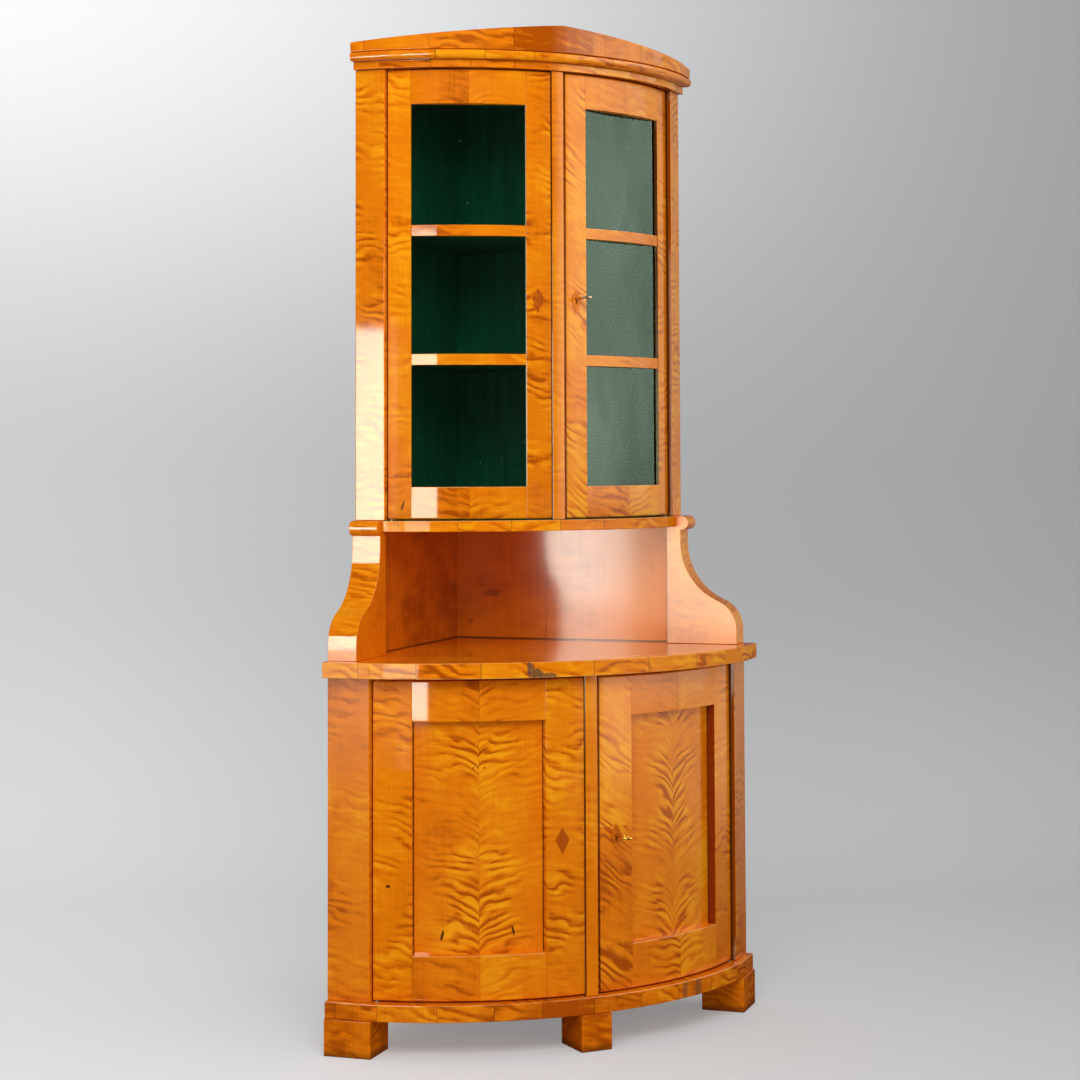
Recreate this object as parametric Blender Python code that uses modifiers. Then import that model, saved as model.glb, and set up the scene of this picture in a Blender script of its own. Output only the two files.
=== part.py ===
"""Two-part bow-fronted corner cabinet: lower cupboard, open niche and glazed upper cupboard.

Metres, +Z up, front towards -Y, the outline symmetric about X = 0. The cabinet stands in the
corner of a room, so its two backs run at 45 degrees to the axes and meet in a right angle.
Plan sizes are taken from that back corner. "Wall distance" runs from it along a wall and
"cant distance" runs square to the wall, along the canted front stile.
"""

import math

import bmesh
import bpy
from mathutils import Matrix, Vector

COLLECTION_NAME = "corner_cabinet"
CUTTERS_NAME = "corner_cabinet_cutters"

# Plan of the two carcasses: length of a back, width of a canted stile, bow of the front arc
LOWER_WALL = 0.7268
LOWER_CANT = 0.095
LOWER_BOW = 0.153
UPPER_WALL = 0.5788
UPPER_CANT = 0.069
UPPER_BOW = 0.1295

# Heights, from the floor up
FOOT_HEIGHT = 0.0765
BASE_BOARD_THICKNESS = 0.0355
LOWER_OPENING_HEIGHT = 0.6743
TABLE_TOP_THICKNESS = 0.0337
NICHE_HEIGHT = 0.268
UPPER_BOTTOM_THICKNESS = 0.0245
UPPER_OPENING_HEIGHT = 0.9893
CORNICE_BAND_HEIGHT = 0.0168
CORNICE_TORUS_HEIGHT = 0.0204
PEDIMENT_END_HEIGHT = 0.021
PEDIMENT_RISE = 0.040

# How far each board stands out from its carcass
FOOT_OVERHANG = 0.0195
BASE_BOARD_OVERHANG = 0.0155
TABLE_TOP_OVERHANG = 0.030
UPPER_BOTTOM_OVERHANG = 0.006
CORNICE_BAND_OVERHANG = 0.011
CORNICE_TORUS_OVERHANG = 0.032
PEDIMENT_OVERHANG = 0.029

# Boards and blocks
BACK_THICKNESS = 0.030
STILE_THICKNESS = 0.018
SHELF_THICKNESS = 0.018
SHELF_HOUSING = 0.006
SHELF_DOOR_CLEARANCE = 0.005
LOWER_SHELF_HEIGHT = 0.360
PEDIMENT_THICKNESS = 0.020
FOOT_WIDTH = 0.106
FOOT_DEPTH = 0.098
CENTRE_FOOT_WIDTH = 0.072
CENTRE_FOOT_DEPTH = 0.095
BACK_FOOT_WIDTH = 0.090
BOARD_EASING = 0.0015
STILE_EASING = 0.002

# Scrolled brackets between the table top and the upper cupboard
BRACKET_WIDTH = 0.0657
BRACKET_FOOT_REACH = 0.1473
BRACKET_NECK_REACH = 0.0162
BRACKET_ROLL_REACH = 0.0188
BRACKET_ROLL_RADIUS = 0.016
BRACKET_FOOT_STRAIGHT = 0.033
BRACKET_NECK_STRAIGHT = 0.030
BRACKET_HOLLOW_SHARE = 0.67

# Doors
DOOR_RECESS_END = 0.011
DOOR_RECESS_CENTRE = 0.003
HINGE_GAP = 0.0025
DOOR_EASING = 0.004
LEFT_DOOR_EDGE = 0.0135
RIGHT_DOOR_EDGE = 0.019
LOWER_DOOR_THICKNESS = 0.034
LOWER_DOOR_BOTTOM_GAP = 0.003
LOWER_DOOR_TOP_GAP = 0.0056
LOWER_PANEL_INNER = 0.1028
LOWER_PANEL_OUTER = 0.3682
LOWER_TOP_RAIL = 0.0857
LOWER_BOTTOM_RAIL = 0.0941
PANEL_RECESS = 0.019
PANEL_THICKNESS = 0.009
PANEL_TONGUE = 0.008
UPPER_DOOR_THICKNESS = 0.030
UPPER_DOOR_BOTTOM_GAP = 0.0023
UPPER_DOOR_TOP_GAP = 0.0021
UPPER_PANE_INNER = 0.0738
UPPER_PANE_OUTER = 0.3094
UPPER_TOP_RAIL = 0.0755
UPPER_BOTTOM_RAIL = 0.0703
GLAZING_BAR_WIDTH = 0.0239
GLAZING_BAR_RECESS = 0.0015
LOW_LIGHT_HEIGHT = 0.2658
HIGH_LIGHT_HEIGHT = 0.2668
GLASS_RECESS = 0.008
GLASS_THICKNESS = 0.003
GLASS_LAP = 0.006

# Closing strip on the left door's edge
ASTRAGAL_WIDTH = 0.0305
ASTRAGAL_THICKNESS = 0.006
ASTRAGAL_ROUNDING = 0.0035
ASTRAGAL_END_GAP = 0.0008

# Pivot pins
PIVOT_INSET = 0.009
PIVOT_DEPTH = 0.007
PIN_RADIUS = 0.003
PIN_COLLAR_RADIUS = 0.006
PIN_SHANK = 0.018

# Locks and keys
LOWER_LOCK_HEIGHT = 0.442
UPPER_LOCK_HEIGHT = 1.599
LOCK_WIDTH = 0.046
LOCK_HEIGHT = 0.078
LOCK_DEPTH = 0.014
LOCK_POCKET_RADIUS = 0.0100
LOCK_POCKET_DEPTH = 0.009
KEYHOLE_SLOT_LENGTH = 0.0125
KEYHOLE_SLOT_WIDTH = 0.0034
KEY_SHAFT_RADIUS = 0.003
KEY_REACH = 0.056
KEY_COLLAR_RADIUS = 0.0046
KEY_COLLAR_LENGTH = 0.004
KEY_BOW_RADIUS = 0.0095
KEY_BOW_WIRE = 0.0024
KEY_BIT_LENGTH = 0.0085
KEY_BIT_HEIGHT = 0.005
KEY_BIT_THICKNESS = 0.0022

# Fits: SEAT parts two pieces that touch, PLAY lets one turn in the other
SEAT = 0.0003
PLAY = 0.0003
BOTTOMING = 0.0005

# Facets of the curves
FRONT_SEGMENTS = 32
DOOR_SEGMENTS = 14
NARROW_SEGMENTS = 4
SCROLL_SEGMENTS = 7
ROUND_SEGMENTS = 16

ROOT_2 = math.sqrt(2.0)

# Levels that the heights add up to
Z_BASE = FOOT_HEIGHT
Z_FLOOR = Z_BASE + BASE_BOARD_THICKNESS
Z_TABLE_UNDERSIDE = Z_FLOOR + LOWER_OPENING_HEIGHT
Z_TABLE = Z_TABLE_UNDERSIDE + TABLE_TOP_THICKNESS
Z_UPPER_BOTTOM = Z_TABLE + NICHE_HEIGHT
Z_UPPER_FLOOR = Z_UPPER_BOTTOM + UPPER_BOTTOM_THICKNESS
Z_CORNICE = Z_UPPER_FLOOR + UPPER_OPENING_HEIGHT
Z_TORUS = Z_CORNICE + CORNICE_BAND_HEIGHT
Z_PEDIMENT = Z_TORUS + CORNICE_TORUS_HEIGHT
Z_PEDIMENT_END = Z_PEDIMENT + PEDIMENT_END_HEIGHT
Z_APEX = Z_PEDIMENT_END + PEDIMENT_RISE
Z_GLASS = Z_UPPER_FLOOR + UPPER_DOOR_BOTTOM_GAP + UPPER_BOTTOM_RAIL
Z_GLASS_TOP = Z_CORNICE - UPPER_DOOR_TOP_GAP - UPPER_TOP_RAIL


class FrontArc:
    """The circle that a bowed front follows, in plan, with the back corner at the origin.

    It passes through the front centre (0, -reach) and the side points (+-half_width, -side_reach).
    Angles are taken at its centre, from straight ahead, positive to the right.
    """

    def __init__(self, reach, half_width, side_reach):
        bow = reach - side_reach
        self.radius = (half_width ** 2 + bow ** 2) / (2.0 * bow)
        self.centre = self.radius - reach

    def point(self, angle, radius):
        return radius * math.sin(angle), self.centre - radius * math.cos(angle)

    def angle_at_x(self, x, radius):
        return math.asin(x / radius)

    def angle_at_cant(self, cant, radius):
        """Where the circle meets the line that runs along the right wall, cant away from it."""
        shift = ROOT_2 * cant + self.centre
        x = (math.sqrt(2.0 * radius ** 2 - shift ** 2) - shift) / 2.0
        return math.asin(x / radius)

    def angle_at_wall(self, wall, radius):
        """Where the circle meets the line square to the right wall, wall away from the corner."""
        shift = ROOT_2 * wall + self.centre
        x = (shift - math.sqrt(2.0 * radius ** 2 - shift ** 2)) / 2.0
        return math.asin(x / radius)

    def sweep(self, radius, start, end, segments):
        step = (end - start) / segments
        return [self.point(start + i * step, radius) for i in range(segments + 1)]


class Carcass:
    """Plan of one carcass: two backs, two canted stiles and a bowed front between them."""

    def __init__(self, wall, cant, bow):
        self.wall = wall
        self.cant = cant
        half_width = (wall - cant) / ROOT_2
        side_reach = (wall + cant) / ROOT_2
        self.front = FrontArc(side_reach + bow, half_width, side_reach)
        self.reach = side_reach + bow
        door_half_width = half_width - DOOR_RECESS_END / ROOT_2
        door_side_reach = side_reach - DOOR_RECESS_END / ROOT_2
        self.doors = FrontArc(self.reach - DOOR_RECESS_CENTRE, door_half_width, door_side_reach)

    def front_line(self, overhang):
        """Right wall end, round the front, to the left wall end, standing out by overhang."""
        wall = self.wall + overhang
        radius = self.front.radius + overhang
        angle = self.front.angle_at_wall(wall, radius)
        arc = self.front.sweep(radius, angle, -angle, FRONT_SEGMENTS)
        return [from_wall(wall, 0.0, 1)] + arc + [from_wall(wall, 0.0, -1)]

    def outline(self, overhang):
        return [(0.0, 0.0)] + self.front_line(overhang)


def from_wall(wall, cant, side):
    """Plan point at a wall distance and a cant distance; side is 1 on the right, -1 on the left."""
    return side * (wall - cant) / ROOT_2, -(wall + cant) / ROOT_2


LOWER = Carcass(LOWER_WALL, LOWER_CANT, LOWER_BOW)
UPPER = Carcass(UPPER_WALL, UPPER_CANT, UPPER_BOW)


def key_place(carcass, inner_edge):
    """Angle of the key: halfway across the right meeting stile's face."""
    return carcass.doors.angle_at_x((RIGHT_DOOR_EDGE + inner_edge) / 2.0, carcass.doors.radius)


LOWER_KEY_ANGLE = key_place(LOWER, LOWER_PANEL_INNER)
UPPER_KEY_ANGLE = key_place(UPPER, UPPER_PANE_INNER)

# The box's middle is the origin, so the back corner lies half the whole depth behind it
KEY_TIP = -LOWER.doors.point(LOWER_KEY_ANGLE, LOWER.doors.radius + KEY_REACH)[1]
FRONT_REACH = max(LOWER.reach + TABLE_TOP_OVERHANG, LOWER.reach + FOOT_OVERHANG, KEY_TIP)
BACK_Y = FRONT_REACH / 2.0


def clear_scene():
    for old in list(bpy.data.objects):
        bpy.data.objects.remove(old, do_unlink=True)


def new_collection(name):
    collection = bpy.data.collections.new(name)
    bpy.context.scene.collection.children.link(collection)
    return collection


def new_material(name, colour, roughness, metallic=0.0, alpha=1.0):
    material = bpy.data.materials.new(name)
    material.use_nodes = True
    shader = material.node_tree.nodes["Principled BSDF"]
    shader.inputs["Base Color"].default_value = (*colour, 1.0)
    shader.inputs["Roughness"].default_value = roughness
    shader.inputs["Metallic"].default_value = metallic
    shader.inputs["Alpha"].default_value = alpha
    return material


FINISHES = {
    "birch": ((0.70, 0.27, 0.04), 0.22, 0.0, 1.0),
    "birch_back": ((0.42, 0.14, 0.03), 0.45, 0.0, 1.0),
    "painted_shelf": ((0.02, 0.07, 0.05), 0.55, 0.0, 1.0),
    "glass": ((0.90, 0.95, 0.93), 0.03, 0.0, 0.2),
    "brass": ((0.75, 0.55, 0.20), 0.3, 1.0, 1.0),
    "steel": ((0.45, 0.43, 0.40), 0.4, 1.0, 1.0),
}


class Workshop:
    """Keeps the collections and gives every piece its own material."""

    def __init__(self):
        self.parts = new_collection(COLLECTION_NAME)
        self.cutters = new_collection(CUTTERS_NAME)
        self.cutters.hide_render = True

    def add(self, name, mesh, finish):
        piece = bpy.data.objects.new(name, mesh)
        self.parts.objects.link(piece)
        colour, roughness, metallic, alpha = FINISHES[finish]
        mesh.materials.clear()
        mesh.materials.append(new_material(name + "_finish", colour, roughness, metallic, alpha))
        return piece

    def add_cutter(self, name, mesh):
        cutter = bpy.data.objects.new(name, mesh)
        self.cutters.objects.link(cutter)
        cutter.hide_render = True
        cutter.display_type = "WIRE"
        return cutter

    def boolean(self, piece, other, operation="DIFFERENCE"):
        modifier = piece.modifiers.new(other.name, "BOOLEAN")
        modifier.operation = operation
        modifier.solver = "EXACT"
        modifier.object = other


def tidy_mesh(mesh):
    """Welds a curve's loose caps, joins flat triangles and points the faces outwards."""
    merge_distance = 0.00001
    flat = math.radians(0.05)
    shape = bmesh.new()
    shape.from_mesh(mesh)
    bmesh.ops.remove_doubles(shape, verts=shape.verts, dist=merge_distance)
    bmesh.ops.dissolve_degenerate(shape, edges=shape.edges, dist=merge_distance)
    bmesh.ops.dissolve_limit(shape, angle_limit=flat, verts=shape.verts, edges=shape.edges)
    bmesh.ops.recalc_face_normals(shape, faces=shape.faces)
    shape.to_mesh(mesh)
    shape.free()


def mesh_of(piece):
    """Mesh of an object that is only a step on the way, which is then removed."""
    bpy.context.scene.collection.objects.link(piece)
    bpy.context.view_layer.update()
    evaluated = piece.evaluated_get(bpy.context.evaluated_depsgraph_get())
    mesh = bpy.data.meshes.new_from_object(evaluated)
    mesh.transform(piece.matrix_world)
    bpy.data.objects.remove(piece, do_unlink=True)
    tidy_mesh(mesh)
    return mesh


def extrusion(outline, low, high, frame=None):
    """Flat outline extruded between two heights, in the plan or in the plane that frame gives."""
    curve = bpy.data.curves.new("outline", "CURVE")
    curve.dimensions = "2D"
    curve.fill_mode = "BOTH"
    curve.extrude = (high - low) / 2.0
    spline = curve.splines.new("POLY")
    spline.points.add(len(outline) - 1)
    for point, (x, y) in zip(spline.points, outline):
        point.co = (x, y, 0.0, 1.0)
    spline.use_cyclic_u = True
    blank = bpy.data.objects.new("outline", curve)
    lift = Matrix.Translation((0.0, 0.0, (high + low) / 2.0))
    plan = Matrix.Translation((0.0, BACK_Y, 0.0)) if frame is None else frame
    blank.matrix_world = plan @ lift
    return mesh_of(blank)


def ease(mesh, width, chosen, segments=2):
    """Rounds the edges whose two ends both pass the test, given in plan from the back corner."""
    shape = bmesh.new()
    shape.from_mesh(mesh)

    def picked(edge):
        ends = [(v.co.x, v.co.y - BACK_Y, v.co.z) for v in edge.verts]
        return any(all(test(*end) for end in ends) for test in chosen)

    edges = [edge for edge in shape.edges if picked(edge)]
    bmesh.ops.bevel(shape, geom=edges, offset=width, segments=segments, affect="EDGES", profile=0.5)
    shape.to_mesh(mesh)
    shape.free()


def near(value, target, tolerance=0.00005):
    return abs(value - target) < tolerance


def along_front(carcass, overhang, z):
    """Test for an edge's end: on the front of a board that stands out by overhang, at height z."""
    wall = carcass.wall + overhang
    radius = carcass.front.radius + overhang

    def test(x, y, height):
        on_cant = near((abs(x) - y) / ROOT_2, wall)
        on_bow = near(math.hypot(x, y - carcass.front.centre), radius)
        return near(height, z) and (on_cant or on_bow)

    return test


def cylinder(radius, low, high, frame):
    """Round bar along the frame's Z axis."""
    shape = bmesh.new()
    place = frame @ Matrix.Translation((0.0, 0.0, (low + high) / 2.0))
    bmesh.ops.create_cone(shape, cap_ends=True, segments=ROUND_SEGMENTS, radius1=radius,
                          radius2=radius, depth=high - low, matrix=place)
    mesh = bpy.data.meshes.new("bar")
    shape.to_mesh(mesh)
    shape.free()
    return mesh


def block(size, centre, frame):
    shape = bmesh.new()
    place = frame @ Matrix.Translation(centre) @ Matrix.Diagonal((*size, 1.0))
    bmesh.ops.create_cube(shape, size=1.0, matrix=place)
    mesh = bpy.data.meshes.new("block")
    shape.to_mesh(mesh)
    shape.free()
    return mesh


def wall_board(carcass, side):
    """Back board against one wall, mitred into the other at the corner, up to its stile."""
    mitre = SEAT / ROOT_2
    end = carcass.wall - STILE_THICKNESS - SEAT
    corners = [(mitre, 0.0), (end, 0.0), (end, BACK_THICKNESS), (BACK_THICKNESS + mitre, BACK_THICKNESS)]
    return [from_wall(wall, cant, side) for wall, cant in corners]


def shelf_outline(carcass, setback, growth):
    """Shelf between the backs, let into them, its front set back from the doors' faces."""
    cant = BACK_THICKNESS - SHELF_HOUSING - growth
    radius = carcass.doors.radius - setback + growth
    angle = carcass.doors.angle_at_cant(cant, radius)
    return [from_wall(cant, cant, 1)] + carcass.doors.sweep(radius, angle, -angle, FRONT_SEGMENTS // 2)


def make_feet(shop):
    top = Z_BASE - SEAT
    front = LOWER_WALL + FOOT_OVERHANG
    for side, name in ((-1, "left"), (1, "right")):
        corners = [(front - FOOT_DEPTH, 0.0), (front, 0.0), (front, FOOT_WIDTH),
                   (front - FOOT_DEPTH, FOOT_WIDTH)]
        outline = [from_wall(wall, cant, side) for wall, cant in corners]
        shop.add("foot_front_" + name, extrusion(outline, 0.0, top), "birch")
    half = CENTRE_FOOT_WIDTH / 2.0
    face = -(LOWER.reach + FOOT_OVERHANG)
    back = face + CENTRE_FOOT_DEPTH
    shop.add("foot_front_centre", extrusion([(-half, face), (half, face), (half, back), (-half, back)],
                                            0.0, top), "birch")
    corners = [(0.0, 0.0), (BACK_FOOT_WIDTH, 0.0), (BACK_FOOT_WIDTH, BACK_FOOT_WIDTH),
               (0.0, BACK_FOOT_WIDTH)]
    outline = [from_wall(wall, cant, 1) for wall, cant in corners]
    shop.add("foot_back", extrusion(outline, 0.0, top), "birch_back")


def make_board(shop, name, carcass, overhang, bottom, top):
    """Solid board with the carcass's plan, its front arrises eased."""
    mesh = extrusion(carcass.outline(overhang), bottom, top - SEAT)
    rims = [along_front(carcass, overhang, z) for z in (bottom, top - SEAT)]
    ease(mesh, BOARD_EASING, rims)
    return shop.add(name, mesh, "birch")


def make_carcass_walls(shop, level, carcass, back_bottom, stile_bottom, top):
    """Backs and canted stiles; returns the two backs."""
    backs = []
    for side, name in ((-1, "left"), (1, "right")):
        back = extrusion(wall_board(carcass, side), back_bottom, top - SEAT)
        backs.append(shop.add(f"{level}_back_{name}", back, "birch_back"))
        rear = carcass.wall - STILE_THICKNESS
        corners = [(rear, 0.0), (carcass.wall, 0.0), (carcass.wall, carcass.cant), (rear, carcass.cant)]
        outline = [from_wall(wall, cant, side) for wall, cant in corners]
        stile = extrusion(outline, stile_bottom, top - SEAT)
        arris = from_wall(carcass.wall, carcass.cant, side)
        ease(stile, STILE_EASING, [lambda x, y, z, at=arris: near(x, at[0]) and near(y, at[1])])
        shop.add(f"{level}_stile_{name}", stile, "birch")
    return backs


def make_shelf(shop, name, carcass, setback, middle, backs, finish):
    half = SHELF_THICKNESS / 2.0
    shelf = extrusion(shelf_outline(carcass, setback, 0.0), middle - half, middle + half)
    shop.add(name, shelf, finish)
    housing = extrusion(shelf_outline(carcass, setback, SEAT),
                        middle - half - SEAT, middle + half + SEAT)
    cutter = shop.add_cutter(name + "_housing", housing)
    for back in backs:
        shop.boolean(back, cutter)


def bracket_outline():
    """Side of a scrolled bracket as (wall distance, height): foot, double curve, neck and roll.

    The foot and the neck are straight for a little way; a belly and a hollow arc join them.
    """
    rear = UPPER_WALL - STILE_THICKNESS
    foot = UPPER_WALL + BRACKET_FOOT_REACH
    neck = UPPER_WALL + BRACKET_NECK_REACH
    top = Z_UPPER_FLOOR - SEAT
    roll_wall = UPPER_WALL + BRACKET_ROLL_REACH
    roll_height = top - BRACKET_ROLL_RADIUS
    neck_angle = math.acos((neck - roll_wall) / BRACKET_ROLL_RADIUS)
    neck_height = roll_height - BRACKET_ROLL_RADIUS * math.sin(neck_angle)
    low = Z_TABLE + BRACKET_FOOT_STRAIGHT
    high = neck_height - BRACKET_NECK_STRAIGHT
    turn = 2.0 * math.atan2(foot - neck, high - low)
    total = (high - low) / math.sin(turn)
    hollow = total * BRACKET_HOLLOW_SHARE
    belly = total - hollow
    points = [(rear, Z_TABLE), (foot, Z_TABLE)]
    for i in range(SCROLL_SEGMENTS + 1):
        angle = turn * i / SCROLL_SEGMENTS
        points.append((foot - belly * (1.0 - math.cos(angle)), low + belly * math.sin(angle)))
    for i in range(1, SCROLL_SEGMENTS + 1):
        angle = turn * (1.0 - i / SCROLL_SEGMENTS)
        points.append((neck + hollow * (1.0 - math.cos(angle)), high - hollow * math.sin(angle)))
    points.append((neck, neck_height))
    start = -neck_angle
    end = math.radians(90.0)
    roll_segments = 2 * SCROLL_SEGMENTS
    for i in range(1, roll_segments + 1):
        angle = start + (end - start) * i / roll_segments
        points.append((roll_wall + BRACKET_ROLL_RADIUS * math.cos(angle),
                       roll_height + BRACKET_ROLL_RADIUS * math.sin(angle)))
    points.append((rear, top))
    return points


def wall_frame(side):
    """Axes along the wall, up, and square to both, with the back corner at the origin."""
    along = Vector((side / ROOT_2, -1.0 / ROOT_2, 0.0))
    up = Vector((0.0, 0.0, 1.0))
    across = along.cross(up)
    frame = Matrix((along, up, across)).transposed().to_4x4()
    frame.translation = (0.0, BACK_Y, 0.0)
    return frame


def make_brackets(shop):
    for side, name in ((-1, "left"), (1, "right")):
        low, high = (0.0, BRACKET_WIDTH) if side > 0 else (-BRACKET_WIDTH, 0.0)
        mesh = extrusion(bracket_outline(), low, high, wall_frame(side))
        shop.add("bracket_" + name, mesh, "birch")


def make_upper_bottom(shop):
    """Floor of the upper cupboard, notched round the brackets, its front bowed between them."""
    rear = UPPER_WALL - STILE_THICKNESS - SEAT
    cheek = BRACKET_WIDTH + SEAT
    inner = BACK_THICKNESS + SEAT
    radius = UPPER.front.radius + UPPER_BOTTOM_OVERHANG
    angle = UPPER.front.angle_at_cant(cheek, radius)
    right = [from_wall(inner, inner, 1), from_wall(rear, inner, 1), from_wall(rear, cheek, 1)]
    left = [from_wall(rear, cheek, -1), from_wall(rear, inner, -1)]
    outline = right + UPPER.front.sweep(radius, angle, -angle, FRONT_SEGMENTS) + left
    mesh = extrusion(outline, Z_UPPER_BOTTOM, Z_UPPER_FLOOR - SEAT)

    def on_bow(x, y, z):
        on_face = near(math.hypot(x, y - UPPER.front.centre), radius)
        return on_face and (near(z, Z_UPPER_BOTTOM) or near(z, Z_UPPER_FLOOR - SEAT))

    ease(mesh, BOARD_EASING, [on_bow])
    return shop.add("upper_bottom", mesh, "birch")


def cornice_sections():
    """Height and overhang of each level: a flat band and a half-round torus over it."""
    half = (CORNICE_TORUS_HEIGHT - SEAT) / 2.0
    centre = CORNICE_TORUS_OVERHANG - half
    levels = [(Z_CORNICE, CORNICE_BAND_OVERHANG), (Z_TORUS, CORNICE_BAND_OVERHANG)]
    torus_segments = 8
    for i in range(torus_segments + 1):
        angle = math.radians(-90.0 + 180.0 * i / torus_segments)
        levels.append((Z_TORUS + half + half * math.sin(angle), centre + half * math.cos(angle)))
    return levels


def make_cornice(shop):
    """Top board with its moulded edge, lofted through the levels' plan outlines."""
    shape = bmesh.new()
    rings = []
    for z, overhang in cornice_sections():
        rings.append([shape.verts.new((x, y + BACK_Y, z)) for x, y in UPPER.outline(overhang)])
    count = len(rings[0])
    for lower, upper in zip(rings, rings[1:]):
        for i in range(1, count):
            j = (i + 1) % count
            if j:
                shape.faces.new((lower[i], lower[j], upper[j], upper[i]))
    backs = ((0, 1), (count - 1, 0))
    for first, second in backs:
        wall = [ring[first] for ring in rings] + [ring[second] for ring in reversed(rings)]
        shape.faces.new(wall)
    shape.faces.new(list(reversed(rings[0])))
    shape.faces.new(rings[-1])
    mesh = bpy.data.meshes.new("cornice")
    shape.to_mesh(mesh)
    shape.free()
    tidy_mesh(mesh)
    return shop.add("cornice", mesh, "birch")


def make_pediment(shop):
    """Low gabled board that stands on the cornice and follows its front."""
    outer = UPPER.front_line(PEDIMENT_OVERHANG)
    inner = UPPER.front_line(PEDIMENT_OVERHANG - PEDIMENT_THICKNESS)
    mesh = extrusion(outer + list(reversed(inner)), Z_PEDIMENT, Z_APEX)
    pediment = shop.add("pediment", mesh, "birch")
    slope = math.atan2(PEDIMENT_RISE, outer[0][0])
    over = 4.0 * PEDIMENT_RISE
    for side, name in ((-1, "left"), (1, "right")):
        apex = Matrix.Translation((0.0, BACK_Y, Z_APEX)) @ Matrix.Rotation(side * slope, 4, "Y")
        mesh = block((UPPER_WALL * 2.0, UPPER_WALL * 4.0, over), (side * UPPER_WALL, 0.0, over / 2.0), apex)
        shop.boolean(pediment, shop.add_cutter("pediment_slope_" + name, mesh))


class Door:
    """One leaf: its arc, its edges as angles, its pivot and the pieces it gathers."""

    def __init__(self, level, side, carcass, thickness, opening, gaps, inner_edge, outer_edge):
        self.level = level
        self.side = side
        self.name = f"{level}_{'right' if side > 0 else 'left'}"
        self.carcass = carcass
        self.arc = carcass.doors
        self.front = self.arc.radius
        self.back = self.front - thickness
        self.floor, self.ceiling = opening
        self.bottom = self.floor + gaps[0]
        self.top = self.ceiling - gaps[1]
        self.inner = self.arc.angle_at_x(inner_edge, self.front)
        self.outer = self.arc.angle_at_x(outer_edge, self.front)
        self.meeting_x = RIGHT_DOOR_EDGE if side > 0 else -LEFT_DOOR_EDGE
        cant = carcass.cant + HINGE_GAP + PIVOT_INSET
        self.pivot = from_wall(carcass.wall - DOOR_RECESS_END - PIVOT_DEPTH, cant, side)
        self.pieces = []

    def hinge_angle(self, radius):
        return self.arc.angle_at_cant(self.carcass.cant + HINGE_GAP, radius)

    def meeting_angle(self, radius):
        return self.arc.angle_at_x(self.meeting_x, radius)

    def band(self, front, back, front_angles, back_angles, segments):
        """Plan of a curved piece between two radii, mirrored on the left side."""
        outline = self.arc.sweep(front, *front_angles, segments)
        outline += self.arc.sweep(back, *reversed(back_angles), segments)
        return [(self.side * x, y) for x, y in outline]

    def keep(self, piece):
        self.pieces.append(piece)
        return piece

    def outer_edges(self, z_levels, end_angle):
        """Tests for the front arrises on the leaf's outside, which are rounded over."""
        def on_front(x, y):
            return near(math.hypot(x, y - self.arc.centre), self.front)

        tests = [lambda x, y, z, level=level: on_front(x, y) and near(z, level) for level in z_levels]
        if end_angle is not None:
            edge_x = self.side * self.arc.point(end_angle, self.front)[0]
            tests.append(lambda x, y, z: on_front(x, y) and near(x, edge_x))
        return tests

    def add_stile(self, shop, place, front_angles, back_angles, end_angle):
        outline = self.band(self.front, self.back, front_angles, back_angles, NARROW_SEGMENTS)
        mesh = extrusion(outline, self.bottom, self.top)
        ease(mesh, DOOR_EASING, self.outer_edges((self.bottom, self.top), end_angle))
        return self.keep(shop.add(f"{self.name}_{place}_stile", mesh, "birch"))

    def add_stiles(self, shop):
        hinge_front, hinge_back = self.hinge_angle(self.front), self.hinge_angle(self.back)
        meet_front, meet_back = self.meeting_angle(self.front), self.meeting_angle(self.back)
        hinge = self.add_stile(shop, "hinge", (self.outer, hinge_front), (self.outer, hinge_back),
                               hinge_front)
        meeting = self.add_stile(shop, "meeting", (meet_front, self.inner), (meet_back, self.inner),
                                 meet_front)
        return hinge, meeting

    def add_rail(self, shop, place, low, high, eased, recess=0.0):
        gap = SEAT / self.front
        angles = (self.inner + gap, self.outer - gap)
        front = self.front - recess
        outline = self.band(front, self.back, angles, angles, DOOR_SEGMENTS)
        mesh = extrusion(outline, low, high)
        if eased is not None:
            ease(mesh, DOOR_EASING, self.outer_edges((eased,), None))
        return self.keep(shop.add(f"{self.name}_{place}", mesh, "birch"))

    def pivot_frame(self, z):
        return Matrix.Translation((self.pivot[0], self.pivot[1] + BACK_Y, z))


def fit_panel(shop, door, frame_pieces, low, high):
    """Curved panel with its tongue in a groove that runs round the frame."""
    def panel(growth):
        front = door.front - PANEL_RECESS + growth
        back = door.front - PANEL_RECESS - PANEL_THICKNESS - growth
        reach = (PANEL_TONGUE + growth) / door.front
        angles = (door.inner - reach, door.outer + reach)
        outline = door.band(front, back, angles, angles, DOOR_SEGMENTS)
        return extrusion(outline, low - PANEL_TONGUE - growth, high + PANEL_TONGUE + growth)

    door.keep(shop.add(door.name + "_panel", panel(0.0), "birch"))
    groove = shop.add_cutter(door.name + "_panel_groove", panel(SEAT))
    for piece in frame_pieces:
        shop.boolean(piece, groove)


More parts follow.
